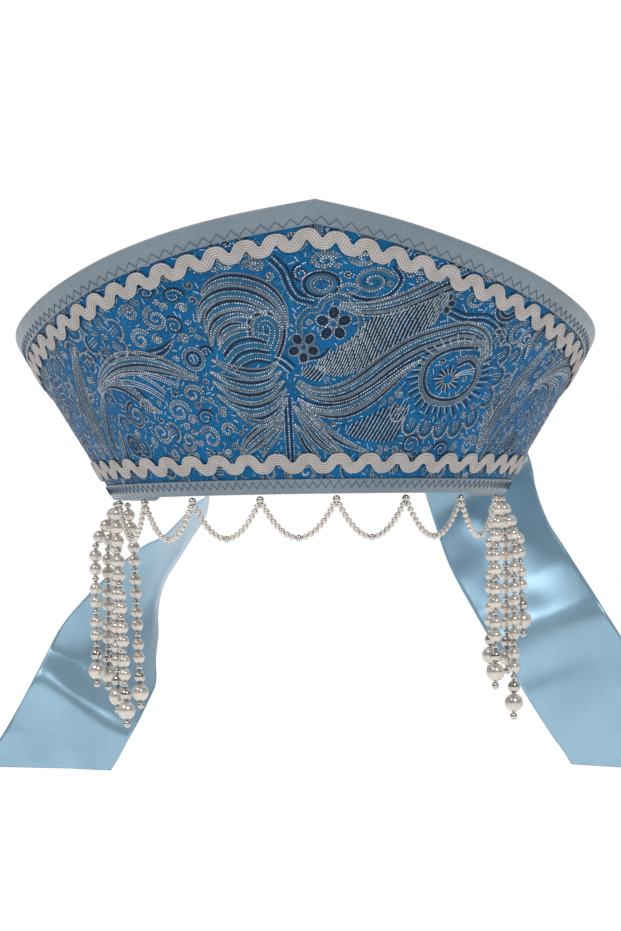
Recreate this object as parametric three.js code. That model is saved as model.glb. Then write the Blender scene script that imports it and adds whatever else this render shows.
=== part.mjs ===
// Kokoshnik headdress: a stiff flared band covered with brocade, bound with satin tape,
// trimmed with rickrack braid, bead swags and pendant bead strands, with satin tie ribbons.
// Millimetres, +Z up, the front towards -Y. The origin is where the headdress sits on the
// head: the centre of the oval that the band's lower rim draws, in the plane of that rim.
import * as THREE from "three";

const radians = THREE.MathUtils.degToRad;

// The band: a wall that leans out as it rises, more at the sides than at the front
const RIM_HALF_WIDTH = 87.6;
const RIM_HALF_DEPTH = 94.8;
const SIDE_RISE = Math.tan(radians(31.3));
const FRONT_RISE = Math.tan(radians(25));
const BAND_THICKNESS = 2.5;
const BAND_END = 122;
const STEPS_EACH_SIDE = 17;
const SEAT_GAP = 0.3;

// Height of the bound upper edge over the rim's plane, by the angle round from the front
const PEAK = { angle: 3.5, height: 120.4 };
const UPPER_EDGE = [
  { angle: 15, left: 112.0, right: 113.4 },
  { angle: 30, left: 102.9, right: 102.9 },
  { angle: 45, left: 92.6, right: 92.6 },
  { angle: 60, left: 83.1, right: 83.1 },
  { angle: 75, left: 75.4, right: 75.4 },
  { angle: 90, left: 67.5, right: 67.5 },
  { angle: 105, left: 60.0, right: 60.0 },
  { angle: 122, left: 51.0, right: 51.0 },
];

// Satin tape folded over both edges, and the height of its lower fold
const TAPE_THICKNESS = 0.8;
const UPPER_TAPE_DEPTH = 9;
const LOWER_TAPE_DEPTH = 6.6;
const LOWER_FOLD = 0.5;

// Rickrack braid: a flat braid that runs in even waves
const BRAID_THICKNESS = 1.2;
const BRAID_WIDTH = 4.3;
const BRAID_WAVE = 13;
const BRAID_SWING = 1.8;
const BRAID_START = 2.1;
const BRAID_END = 120;
const UPPER_BRAID_DROP = 14.2;
const LOWER_BRAID_HEIGHT = 13.8;

// The string of small beads under the rim, caught up at these angles
const SWAG_ANCHORS = [-73, -53.1, -32.8, -11.6, 9.9, 30.5, 51.1, 73.6];
const SWAG_BEAD = 2.75;
const SWAG_SAG = 16.5;
const SWAG_STEPS = 6;
const SWAG_SIDES = 8;

// Beads of the pendant strands: diameter, and where along the bead its rings lie
const SILVER = { diameter: 3, rings: [{ at: 0.5, radius: 1 }] };
const PEARL = { diameter: 6, rings: [{ at: 0.28, radius: 0.96 }, { at: 0.72, radius: 0.96 }] };
const LARGE_SILVER = { diameter: 5, rings: PEARL.rings };
const DROP_PEARL = {
  diameter: 8,
  rings: [{ at: 0.15, radius: 0.72 }, { at: 0.5, radius: 1 }, { at: 0.85, radius: 0.72 }],
};
const BEAD_SIDES = 10;
const THREAD_RADIUS = 0.7;
const BARE_STRAND_SIDES = 8;
const BARE_STRAND_STEP = 15;

// Each strand: its angle on the rim, the pearls above its first pair, its groups of two
// pearls and a silver bead, how far it is pushed out near its top, and its outward lean.
// The rearmost strand of each side is a plain tube here.
const STRANDS = [
  { name: "strand_left_1", angle: -77, first: 3, groups: 4, push: 1, lean: -4 },
  { name: "strand_left_2", angle: -82.5, first: 2, groups: 4, push: 0.5, lean: 0 },
  { name: "strand_left_3", angle: -88, first: 3, groups: 3, push: 10, lean: 0 },
  { name: "strand_left_4", angle: -93.5, first: 3, groups: 3, push: 5, lean: 1 },
  { name: "strand_left_5", angle: -104, first: 2, groups: 4, push: -2, lean: -3, bare: true },
  { name: "strand_right_1", angle: 77, first: 3, groups: 3, push: -1, lean: -2 },
  { name: "strand_right_2", angle: 82.5, first: 3, groups: 4, push: 6, lean: -2 },
  { name: "strand_right_3", angle: 88, first: 2, groups: 3, push: 1, lean: 0 },
  { name: "strand_right_4", angle: 93.5, first: 2, groups: 2, push: 7, lean: 3 },
  { name: "strand_right_5", angle: 104, first: 2, groups: 3, push: -2, lean: -2, bare: true },
];
const PUSH_DEPTH = 22;
const LEAN_DEPTH = 100;
const STRAND_ROUTE_STEP = 4;

// Tie ribbons, sewn to the band's back ends. Each row is a point of the ribbon's centre
// line, with x outwards on the ribbon's own side, and the turn of its width out of the
// plane that faces the front. Its width turns evenly from the seat to the joined row.
const RIBBON_WIDTH = 53;
const RIBBON_THICKNESS = 1;
const RIBBON_STEPS = 22;
const RIBBON_CUT = Math.tan(radians(31));
const RIBBON_CUT_SHARE = 0.25;
const RIBBON_SEAT_HEIGHT = 25.5;
const LEFT_JOINED_ROW = 6;
const LEFT_RIBBON = [
  { x: 77, y: 68, z: 27, turn: 88 },
  { x: 67, y: 78.5, z: 25, turn: 88 },
  { x: 57, y: 86.5, z: 20, turn: 88 },
  { x: 50.5, y: 90, z: 10.5, turn: 88 },
  { x: 53.5, y: 90, z: -0.5, turn: 87 },
  { x: 61, y: 88, z: -10.5, turn: 84 },
  { x: 68.5, y: 85, z: -20.5, turn: 81 },
  { x: 76, y: 81, z: -30, turn: 76 },
  { x: 82, y: 75, z: -40, turn: 66 },
  { x: 87.5, y: 68, z: -51, turn: 52 },
  { x: 94, y: 60, z: -63.5, turn: 34 },
  { x: 101.5, y: 52, z: -79, turn: 6 },
  { x: 109, y: 46, z: -94, turn: 0 },
  { x: 118.5, y: 50, z: -110, turn: 0 },
  { x: 128, y: 54, z: -125, turn: 0 },
];
const RIGHT_JOINED_ROW = 4;
const RIGHT_RIBBON = [
  { x: 81, y: 67, z: 25.5, turn: 14 },
  { x: 77.5, y: 78, z: 20, turn: 14 },
  { x: 79, y: 87, z: 6.5, turn: 14 },
  { x: 87, y: 80, z: -20.7, turn: 14 },
  { x: 98, y: 70, z: -41, turn: 8 },
  { x: 109.5, y: 58, z: -60.5, turn: 4 },
  { x: 121.5, y: 56, z: -80.5, turn: 8 },
  { x: 140.5, y: 64, z: -111.5, turn: 14 },
  { x: 151, y: 70, z: -129.5, turn: 16 },
];

// One finish for each kind of piece
const FINISHES = {
  brocade: { color: 0x2273b9, roughness: 0.45, metalness: 0.1 },
  tape: { color: 0x93adc2, roughness: 0.4, metalness: 0 },
  braid: { color: 0xcbcbd0, roughness: 0.75, metalness: 0 },
  beads: { color: 0xe9e6e1, roughness: 0.2, metalness: 0 },
  ribbon: { color: 0x8cbadb, roughness: 0.35, metalness: 0 },
};

// Smooth value through rows of x and y, with the rows' own mean slope at each row
function throughRows(rows, x) {
  const last = rows.length - 1;
  const slope = (i) => (rows[i + 1].y - rows[i].y) / (rows[i + 1].x - rows[i].x);
  const tangent = (i) => (slope(Math.max(i - 1, 0)) + slope(Math.min(i, last - 1))) / 2;
  let i = 0;
  while (i < last - 1 && x > rows[i + 1].x) {
    i += 1;
  }
  const span = rows[i + 1].x - rows[i].x;
  const u = (x - rows[i].x) / span;
  return (
    rows[i].y * (1 + 2 * u) * (1 - u) ** 2 +
    rows[i + 1].y * (3 - 2 * u) * u * u +
    span * tangent(i) * u * (1 - u) ** 2 -
    span * tangent(i + 1) * (1 - u) * u * u
  );
}

// Height of the bound upper edge at an angle in degrees, a blunt point at the peak
function upperEdge(angle) {
  const side = angle < PEAK.angle ? "left" : "right";
  const turn = side === "left" ? -1 : 1;
  const rows = [{ x: turn * PEAK.angle, y: PEAK.height }];
  for (const row of UPPER_EDGE) {
    rows.push({ x: row.angle, y: row[side] });
  }
  return throughRows(rows, turn * angle);
}

// A point that stands proud of the brocade's face, at an angle in degrees and a height
function bandPoint(angle, height, proud) {
  const sin = Math.sin(radians(angle));
  const cos = Math.cos(radians(angle));
  const halfWidth = RIM_HALF_WIDTH + height * SIDE_RISE;
  const halfDepth = RIM_HALF_DEPTH + height * FRONT_RISE;
  const outward = new THREE.Vector3(
    halfDepth * sin,
    -halfWidth * cos,
    -(halfWidth * FRONT_RISE * cos * cos + halfDepth * SIDE_RISE * sin * sin),
  ).normalize();
  return new THREE.Vector3(halfWidth * sin, -halfDepth * cos, height).addScaledVector(outward, proud);
}

// Angles from end to end of the band, with one at the peak
function bandAngles() {
  const angles = [];
  for (let i = 0; i < STEPS_EACH_SIDE; i += 1) {
    angles.push(-BAND_END + ((PEAK.angle + BAND_END) * i) / STEPS_EACH_SIDE);
  }
  for (let i = 0; i <= STEPS_EACH_SIDE; i += 1) {
    angles.push(PEAK.angle + ((BAND_END - PEAK.angle) * i) / STEPS_EACH_SIDE);
  }
  return angles;
}

// Closed geometry from corner points and triangles, turned so that its faces point out
function closedGeometry(points, triangles) {
  let volume = 0;
  for (const [a, b, c] of triangles) {
    volume += points[a].dot(new THREE.Vector3().crossVectors(points[b], points[c]));
  }
  const ordered = volume > 0 ? triangles : triangles.map(([a, b, c]) => [a, c, b]);
  const geometry = new THREE.BufferGeometry().setFromPoints(points);
  geometry.setIndex(ordered.flat());
  geometry.computeVertexNormals();
  return geometry;
}

// Skin between neighbouring rings that have the same number of points. From a given point
// on, the diagonals run the other way, so that both faces of a twisted wall bend alike.
function ringSkin(ringCount, size, turnedFrom = size) {
  const triangles = [];
  for (let ring = 0; ring + 1 < ringCount; ring += 1) {
    for (let k = 0; k < size; k += 1) {
      const next = (k + 1) % size;
      const low = ring * size;
      const high = low + size;
      if (k < turnedFrom) {
        triangles.push([low + k, low + next, high + next], [low + k, high + next, high + k]);
      } else {
        triangles.push([low + k, low + next, high + k], [low + next, high + next, high + k]);
      }
    }
  }
  return triangles;
}

// A wall of cloth from sections, each with a front row and a back row of points
function wallGeometry(sections) {
  const rows = sections[0].front.length;
  const size = rows * 2;
  const points = sections.flatMap(({ front, back }) => [...front, ...[...back].reverse()]);
  const triangles = ringSkin(sections.length, size, rows);
  const end = (sections.length - 1) * size;
  for (let k = 0; k + 1 < rows; k += 1) {
    const behind = size - 1 - k;
    triangles.push([behind, k + 1, k], [behind, behind - 1, k + 1]);
    triangles.push([end + k, end + k + 1, end + behind], [end + k + 1, end + behind - 1, end + behind]);
  }
  return closedGeometry(points, triangles);
}

// A round body from rings, each with a centre, a radius and two directions across it
function roundGeometry(rings, sides) {
  const points = [];
  for (const { centre, radius, across, upright } of rings) {
    for (let k = 0; k < sides; k += 1) {
      const turn = (2 * Math.PI * k) / sides;
      points.push(
        centre.clone()
          .addScaledVector(across, radius * Math.cos(turn))
          .addScaledVector(upright, radius * Math.sin(turn)),
      );
    }
  }
  const triangles = ringSkin(rings.length, sides);
  const end = (rings.length - 1) * sides;
  for (let k = 1; k + 1 < sides; k += 1) {
    triangles.push([0, k + 1, k], [end, end + k, end + k + 1]);
  }
  return closedGeometry(points, triangles);
}

// The stiff wall under the brocade, held inside the two folded tapes
function bandGeometry() {
  const low = LOWER_FOLD + TAPE_THICKNESS + SEAT_GAP;
  return wallGeometry(bandAngles().map((angle) => {
    const high = upperEdge(angle) - TAPE_THICKNESS - SEAT_GAP;
    return {
      front: [bandPoint(angle, low, 0), bandPoint(angle, high, 0)],
      back: [bandPoint(angle, low, -BAND_THICKNESS), bandPoint(angle, high, -BAND_THICKNESS)],
    };
  }));
}

// Tape folded over an edge: fold is the height of the fold, free that of its free edges
function tapeGeometry(foldAt, freeAt, inward) {
  const nearFace = SEAT_GAP;
  const farFace = -BAND_THICKNESS - SEAT_GAP;
  return wallGeometry(bandAngles().map((angle) => {
    const fold = foldAt(angle);
    const free = freeAt(angle);
    const inside = fold + inward * TAPE_THICKNESS;
    return {
      front: [
        bandPoint(angle, free, nearFace + TAPE_THICKNESS),
        bandPoint(angle, fold, nearFace + TAPE_THICKNESS),
        bandPoint(angle, fold, farFace - TAPE_THICKNESS),
        bandPoint(angle, free, farFace - TAPE_THICKNESS),
      ],
      back: [
        bandPoint(angle, free, nearFace),
        bandPoint(angle, inside, nearFace),
        bandPoint(angle, inside, farFace),
        bandPoint(angle, free, farFace),
      ],
    };
  }));
}

// Angles at even steps along the brocade, walked both ways from one angle
function evenAngles(heightAt, start, step, end) {
  const stride = 0.05;
  const found = [{ angle: start, count: 0 }];
  for (const way of [-1, 1]) {
    let walked = 0;
    let count = 0;
    let here = bandPoint(start, heightAt(start), 0);
    for (let angle = start + way * stride; Math.abs(angle) < end; angle += way * stride) {
      const next = bandPoint(angle, heightAt(angle), 0);
      walked += next.distanceTo(here);
      here = next;
      if (walked >= step) {
        walked -= step;
        count += way;
        found.push({ angle, count });
      }
    }
  }
  return found.sort((a, b) => a.count - b.count);
}

// Rickrack along a line on the brocade, a crest and a trough for each wave
function braidGeometry(heightAt) {
  const halfWave = BRAID_WAVE / 2;
  const halfWidth = (BRAID_WIDTH / 2) * Math.hypot(1, (2 * BRAID_SWING) / halfWave);
  return wallGeometry(evenAngles(heightAt, BRAID_START, halfWave, BRAID_END).map(({ angle, count }) => {
    const middle = heightAt(angle) + (count % 2 === 0 ? BRAID_SWING : -BRAID_SWING);
    const edges = [middle - halfWidth, middle + halfWidth];
    return {
      front: edges.map((height) => bandPoint(angle, height, SEAT_GAP + BRAID_THICKNESS)),
      back: edges.map((height) => bandPoint(angle, height, SEAT_GAP)),
    };
  }));
}

// Where a thread is sewn on: just under the lower fold, by the tape's outer face
function rimSeat(angle, beadDiameter) {
  const seat = bandPoint(angle, LOWER_FOLD, 0);
  seat.z = -SEAT_GAP - beadDiameter / 2;
  return seat;
}

// The swag string as a plain tube through its eight catches
function swagGeometry() {
  const seats = SWAG_ANCHORS.map((angle) => rimSeat(angle, SWAG_BEAD));
  const chords = seats.slice(1).map((seat, i) => seat.clone().sub(seats[i]));
  const outwards = chords.map((chord) => new THREE.Vector3(chord.y, -chord.x, 0).normalize());
  const ring = (centre, outward, slope) => ({
    centre,
    radius: SWAG_BEAD / 2,
    across: outward,
    upright: new THREE.Vector3().crossVectors(outward, slope).normalize(),
  });
  const rings = [];
  chords.forEach((chord, i) => {
    for (let step = i === 0 ? 0 : 1; step <= SWAG_STEPS; step += 1) {
      const u = step / SWAG_STEPS;
      const centre = seats[i].clone().addScaledVector(chord, u);
      centre.z -= 4 * SWAG_SAG * u * (1 - u);
      const caught = step === SWAG_STEPS && i + 1 < chords.length;
      const slope = chord.clone();
      slope.z = caught || (step === 0 && i === 0) ? 0 : 4 * SWAG_SAG * (2 * u - 1);
      const outward = caught ? outwards[i].clone().add(outwards[i + 1]).normalize() : outwards[i];
      rings.push(ring(centre, outward, slope));
    }
  });
  rings[rings.length - 1].upright = new THREE.Vector3(0, 0, 1);
  return roundGeometry(rings, SWAG_SIDES);
}

// The beads of one strand from the rim down to the stopper under its drop pearl
function strandBeads({ first, groups }) {
  const beads = [SILVER, ...Array(first).fill(PEARL), SILVER];
  for (let i = 0; i < groups; i += 1) {
    beads.push(PEARL, PEARL, SILVER);
  }
  beads.push(LARGE_SILVER, SILVER, DROP_PEARL, SILVER);
  return beads;
}

// The line that a strand hangs in: pushed aside near its top, then leaning a little
function strandRoute({ angle, push, lean }, length) {
  const seat = rimSeat(angle, 0);
  const side = Math.sign(angle);
  const points = [];
  for (let drop = 0; drop < length + STRAND_ROUTE_STEP; drop += STRAND_ROUTE_STEP) {
    const pushed = push * THREE.MathUtils.smoothstep(drop, 0, PUSH_DEPTH);
    const leant = (lean * drop) / LEAN_DEPTH;
    points.push(new THREE.Vector3(seat.x + side * (pushed + leant), seat.y, seat.z - drop));
  }
  return new THREE.CatmullRomCurve3(points);
}

// A ring across a strand, at a distance down its thread
function strandRing(route, distance, radius) {
  const share = distance / route.getLength();
  const along = route.getTangentAt(share);
  const across = new THREE.Vector3(0, 1, 0);
  const upright = new THREE.Vector3().crossVectors(along, across).normalize();
  return { centre: route.getPointAt(share), radius, across, upright };
}

// A strand: beads fused at their holes, or one plain tube where the strand is bare
function strandGeometry(strand) {
  const beads = strandBeads(strand);
  const length = beads.reduce((sum, bead) => sum + bead.diameter, 0);
  const route = strandRoute(strand, length);
  if (strand.bare) {
    const steps = Math.round(length / BARE_STRAND_STEP);
    const rings = Array.from({ length: steps + 1 }, (_, i) =>
      strandRing(route, (length * i) / steps, PEARL.diameter / 2));
    return roundGeometry(rings, BARE_STRAND_SIDES);
  }
  const rings = [strandRing(route, 0, THREAD_RADIUS)];
  let top = 0;
  for (const { diameter, rings: profile } of beads) {
    for (const { at, radius } of profile) {
      rings.push(strandRing(route, top + at * diameter, (radius * diameter) / 2));
    }
    top += diameter;
    rings.push(strandRing(route, top, THREAD_RADIUS));
  }
  return roundGeometry(rings, BEAD_SIDES);
}

// Where a ribbon meets the band's end face: its point, and its two directions across
function ribbonSeat() {
  const middle = bandPoint(BAND_END, RIBBON_SEAT_HEIGHT, -BAND_THICKNESS / 2);
  const normal = bandPoint(BAND_END, RIBBON_SEAT_HEIGHT, 0).sub(middle).normalize();
  const across = bandPoint(BAND_END, RIBBON_SEAT_HEIGHT + 1, -BAND_THICKNESS / 2).sub(middle).normalize();
  const onward = new THREE.Vector3().crossVectors(across, normal).normalize();
  return { point: middle.addScaledVector(onward, SEAT_GAP), normal, across };
}

// A ribbon from its seat through its rows, of one width, its free end cut on the slant.
// From the seat to the joined row its width turns evenly, the shorter way round.
function ribbonGeometry(freeRows, joinedRow, side) {
  const seat = ribbonSeat();
  const { x: seatX, y: seatY, z: seatZ } = seat.point;
  const rows = [{ x: seatX, y: seatY, z: seatZ, turn: freeRows[0].turn }, ...freeRows];
  const line = new THREE.CatmullRomCurve3(rows.map(({ x, y, z }) => new THREE.Vector3(x, y, z)));
  const turns = new THREE.CatmullRomCurve3(rows.map(({ turn }) => new THREE.Vector3(turn, 0, 0)));
  const depthwise = new THREE.Vector3(0, 1, 0);
  const turnedAt = (share) => {
    const along = line.getTangent(share);
    const facing = new THREE.Vector3().crossVectors(depthwise, along).normalize();
    const aside = new THREE.Vector3().crossVectors(along, facing).normalize();
    const turn = radians(turns.getPoint(share).x);
    return facing.multiplyScalar(Math.cos(turn)).addScaledVector(aside, Math.sin(turn));
  };
  const joinedAt = joinedRow / freeRows.length;
  const way = Math.sign(turnedAt(joinedAt).dot(seat.across));
  const joined = turnedAt(joinedAt).multiplyScalar(way);
  const acrossAt = (share, along) => {
    if (share >= joinedAt) {
      return turnedAt(share).multiplyScalar(way);
    }
    const mixed = seat.across.clone().lerp(joined, THREE.MathUtils.smoothstep(share, 0, joinedAt));
    return mixed.addScaledVector(along, -mixed.dot(along)).normalize();
  };
  const mirror = new THREE.Vector3(side, 1, 1);
  const sections = [];
  for (let i = 0; i <= RIBBON_STEPS; i += 1) {
    const share = i / RIBBON_STEPS;
    const along = line.getTangent(share);
    const across = i === 0 ? seat.across : acrossAt(share, along);
    const normal = i === 0 ? seat.normal : new THREE.Vector3().crossVectors(along, across).normalize();
    const cut = way * RIBBON_CUT * THREE.MathUtils.smoothstep(share, 1 - RIBBON_CUT_SHARE, 1);
    const edge = across.clone().addScaledVector(along, -cut).multiplyScalar(RIBBON_WIDTH / 2);
    const face = (lift) => [-1, 0, 1].map((place) =>
      line.getPoint(share).addScaledVector(edge, place).addScaledVector(normal, lift).multiply(mirror));
    sections.push({ front: face(RIBBON_THICKNESS / 2), back: face(-RIBBON_THICKNESS / 2) });
  }
  return wallGeometry(sections);
}

function namedMesh(name, geometry, finish) {
  const mesh = new THREE.Mesh(geometry, new THREE.MeshStandardMaterial(FINISHES[finish]));
  mesh.name = name;
  return mesh;
}

const upperFree = (angle) => upperEdge(angle) - UPPER_TAPE_DEPTH;
const upperBraidLine = (angle) => upperEdge(angle) - UPPER_BRAID_DROP;

const kokoshnik = new THREE.Group();
kokoshnik.add(
  namedMesh("band", bandGeometry(), "brocade"),
  namedMesh("top_trim", tapeGeometry(upperEdge, upperFree, -1), "tape"),
  namedMesh("bottom_trim", tapeGeometry(() => LOWER_FOLD, () => LOWER_FOLD + LOWER_TAPE_DEPTH, 1), "tape"),
  namedMesh("top_rickrack", braidGeometry(upperBraidLine), "braid"),
  namedMesh("bottom_rickrack", braidGeometry(() => LOWER_BRAID_HEIGHT), "braid"),
  namedMesh("swag_string", swagGeometry(), "beads"),
);
for (const strand of STRANDS) {
  kokoshnik.add(namedMesh(strand.name, strandGeometry(strand), "beads"));
}
kokoshnik.add(
  namedMesh("ribbon_left", ribbonGeometry(LEFT_RIBBON, LEFT_JOINED_ROW, -1), "ribbon"),
  namedMesh("ribbon_right", ribbonGeometry(RIGHT_RIBBON, RIGHT_JOINED_ROW, 1), "ribbon"),
);

export default kokoshnik;
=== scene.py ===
"""A kokoshnik headdress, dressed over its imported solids.

The band is modelled flat, as its maker cuts it, and a node tree wraps it into the flared
crown. Lengths are metres. On the flat, x runs along the band from its front, y is the
height over the rim and z is how far a thing stands proud of the brocade.
"""

import logging
import math
import random
from collections.abc import Callable, Sequence
from dataclasses import dataclass, field, replace
from enum import Enum
from typing import Any, NamedTuple

import bmesh
import bpy
from mathutils import Matrix, Vector


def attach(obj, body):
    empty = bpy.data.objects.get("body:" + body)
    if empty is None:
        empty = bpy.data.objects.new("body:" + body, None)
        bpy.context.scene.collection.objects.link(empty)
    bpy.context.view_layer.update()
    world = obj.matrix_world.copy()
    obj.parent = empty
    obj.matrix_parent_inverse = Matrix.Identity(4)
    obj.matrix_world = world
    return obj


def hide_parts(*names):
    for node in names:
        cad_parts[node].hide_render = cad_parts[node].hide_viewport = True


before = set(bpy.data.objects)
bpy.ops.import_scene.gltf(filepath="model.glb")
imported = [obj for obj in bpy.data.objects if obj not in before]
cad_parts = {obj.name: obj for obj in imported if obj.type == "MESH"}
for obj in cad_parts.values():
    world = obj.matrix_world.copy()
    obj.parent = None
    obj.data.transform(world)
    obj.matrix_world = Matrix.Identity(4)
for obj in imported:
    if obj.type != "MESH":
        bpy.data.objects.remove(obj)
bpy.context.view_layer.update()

log = logging.getLogger("kokoshnik")

MM = 0.001
SEAT_GAP = 0.3 * MM
TRACE = 1e-6
Pair = tuple[float, float]
Ring = Sequence[Vector]
Socket = bpy.types.NodeSocket
NodeTree = bpy.types.NodeTree


# Node trees


@dataclass
class Nodes:
    """Builds a node tree, for a material or for geometry.

    Attributes:
        tree: The tree that gets the nodes.
    """

    tree: NodeTree

    def add(
        self, kind: str, inputs: dict[str | int, Any] | None = None, **settings: Any
    ) -> bpy.types.Node:
        """Add one node.

        Args:
            kind: The node's type name.
            inputs: A value or a socket for each input that is set, by name or place.
            settings: The node's own properties.

        Returns:
            The new node.
        """
        node = self.tree.nodes.new(kind)
        for key, value in settings.items():
            setattr(node, key, value)
        for key, value in (inputs or {}).items():
            self.feed(node.inputs[key], value)
        return node

    def feed(self, socket: Socket, value: Any) -> None:
        """Give an input a value, or link it to a socket."""
        if isinstance(value, bpy.types.NodeSocket):
            self.tree.links.new(value, socket)
        else:
            socket.default_value = value

    def math(self, operation: str, *values: Any) -> Socket:
        """Return the result of a Math node on up to three values."""
        return self.add("ShaderNodeMath", dict(enumerate(values)), operation=operation).outputs[0]

    def vector_math(self, operation: str, *values: Any) -> Socket:
        """Return the vector result of a Vector Math node."""
        return self.add("ShaderNodeVectorMath", dict(enumerate(values)), operation=operation).outputs[0]

    def scaled(self, vector: Any, factor: Any) -> Socket:
        """Return a vector times a number."""
        node = self.add("ShaderNodeVectorMath", {0: vector, "Scale": factor}, operation="SCALE")
        return node.outputs[0]

    def combine(self, x: Any, y: Any, z: Any) -> Socket:
        """Return a vector from its three parts."""
        return self.add("ShaderNodeCombineXYZ", {0: x, 1: y, 2: z}).outputs[0]

    def separate(self, vector: Any) -> Sequence[Socket]:
        """Return the three parts of a vector."""
        return self.add("ShaderNodeSeparateXYZ", {0: vector}).outputs

    def remap(
        self, value: Any, low: float, high: float, to_low: float = 0.0, to_high: float = 1.0
    ) -> Socket:
        """Return a value moved smoothly from one range to another, held at both ends."""
        places = {"Value": value, "From Min": low, "From Max": high, "To Min": to_low, "To Max": to_high}
        return self.add("ShaderNodeMapRange", places, interpolation_type="SMOOTHSTEP").outputs[0]

    def mix(self, factor: Any, first: Any, second: Any) -> Socket:
        """Return the mix of two colours."""
        return self.add("ShaderNodeMix", {0: factor, 6: first, 7: second}, data_type="RGBA").outputs[2]

    def product(self, first: Any, second: Any) -> Socket:
        """Return the product of two numbers."""
        return self.math("MULTIPLY", first, second)

    def noise(self, vector: Any, scale: Any, detail: float) -> Socket:
        """Return a noise of values round one half."""
        places = {"Vector": vector, "Scale": scale, "Detail": detail}
        return self.add("ShaderNodeTexNoise", places).outputs[0]

    def named(self, name: str, kind: str = "FLOAT") -> Socket:
        """Return a mesh's own attribute in a geometry tree."""
        return self.add("GeometryNodeInputNamedAttribute", {"Name": name}, data_type=kind).outputs[0]

    def store(self, geometry: Any, name: str, value: Any) -> Socket:
        """Keep a number for each point of a geometry."""
        places = {0: geometry, "Name": name, "Value": value}
        node = self.add("GeometryNodeStoreNamedAttribute", places, data_type="FLOAT", domain="POINT")
        return node.outputs[0]

    def dressed(self, geometry: Any, material: Any) -> Socket:
        """Give a geometry smooth faces and a material, and realize what it repeats."""
        real = self.add("GeometryNodeRealizeInstances", {0: geometry})
        smooth = self.add("GeometryNodeSetShadeSmooth", {0: real.outputs[0]})
        return self.add("GeometryNodeSetMaterial", {0: smooth.outputs[0], "Material": material}).outputs[0]


FLOAT = "NodeSocketFloat"
WHOLE = "NodeSocketInt"
GEOMETRY = ("NodeSocketGeometry", None)
MATERIAL = ("NodeSocketMaterial", None)
PLACE = ("NodeSocketVector", (0, 0, 0))


def new_group(
    name: str, kind: str, inputs: dict[str, tuple[str, Any]], outputs: dict[str, str]
) -> tuple[Nodes, Any, Any]:
    """Start a node group with named inputs and outputs.

    Args:
        name: The group's name.
        kind: The tree's type, for shading or for geometry.
        inputs: The socket type and the default of each input.
        outputs: The socket type of each output.

    Returns:
        The builder, the input node's sockets and the output node's sockets.
    """
    tree = bpy.data.node_groups.new(name, kind)
    for label, (socket_type, default) in inputs.items():
        socket = tree.interface.new_socket(label, in_out="INPUT", socket_type=socket_type)
        if default is not None:
            socket.default_value = default
    for label, socket_type in outputs.items():
        tree.interface.new_socket(label, in_out="OUTPUT", socket_type=socket_type)
    nodes = Nodes(tree)
    return nodes, nodes.add("NodeGroupInput").outputs, nodes.add("NodeGroupOutput").inputs


def shape_group(name: str, inputs: dict[str, tuple[str, Any]]) -> tuple[Nodes, Any, Any]:
    """Start a tree that changes a geometry, with the named inputs beside it."""
    return new_group(name, "GeometryNodeTree", {"Geometry": GEOMETRY, **inputs}, {"Geometry": GEOMETRY[0]})


# Meshes


def new_piece(name: str, mesh: bpy.types.Mesh) -> bpy.types.Object:
    """Return a new object in the scene that shows a mesh."""
    piece = bpy.data.objects.new(name, mesh)
    bpy.context.scene.collection.objects.link(piece)
    return piece


def ring_mesh(name: str, rings: Sequence[Ring], marks: Sequence[Sequence[Pair]]) -> bpy.types.Mesh:
    """Skin a row of closed rings and close both of its ends.

    Args:
        name: The mesh's name.
        rings: Rings of equal size, in order.
        marks: The place on the cloth of each ring's points, for the UV map.

    Returns:
        A closed mesh with smooth faces and a UV map.
    """
    size = len(rings[0])
    corners = [tuple(point) for ring in rings for point in ring]
    places = [mark for row in marks for mark in row]
    faces = []
    for start in range(0, len(corners) - size, size):
        for k in range(size):
            after = (k + 1) % size
            faces.append((start + k, start + after, start + size + after, start + size + k))
    last = len(corners) - size
    faces.append(tuple(range(size - 1, -1, -1)))
    faces.append(tuple(range(last, last + size)))
    mesh = bpy.data.meshes.new(name)
    mesh.from_pydata(corners, [], faces)
    layer = mesh.uv_layers.new(name="cloth")
    for loop in mesh.loops:
        layer.data[loop.index].uv = places[loop.vertex_index]
    mesh.shade_smooth()
    return mesh


def line_mesh(
    name: str, lines: Sequence[Sequence[Vector]], widths: Sequence[Sequence[float]] | None = None
) -> bpy.types.Mesh:
    """Build lines as chains of edges.

    Args:
        name: The mesh's name.
        lines: The points of each line.
        widths: The width at each point, as a share of the full one, where it isn't full.

    Returns:
        The mesh of edges.
    """
    corners = [tuple(point) for line in lines for point in line]
    edges = []
    start = 0
    for line in lines:
        edges.extend((start + i, start + i + 1) for i in range(len(line) - 1))
        start += len(line)
    mesh = bpy.data.meshes.new(name)
    mesh.from_pydata(corners, edges, [])
    share = mesh.attributes.new("share", "FLOAT", "POINT")
    shares = [width for row in widths for width in row] if widths else [1.0] * len(corners)
    share.data.foreach_set("value", shares)
    return mesh


def outward(mesh: bpy.types.Mesh) -> None:
    """Turn the faces of closed shells so that they point out.

    Args:
        mesh: The shells.
    """
    shape = bmesh.new()
    shape.from_mesh(mesh)
    bmesh.ops.recalc_face_normals(shape, faces=shape.faces)
    shape.to_mesh(mesh)
    shape.free()


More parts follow.
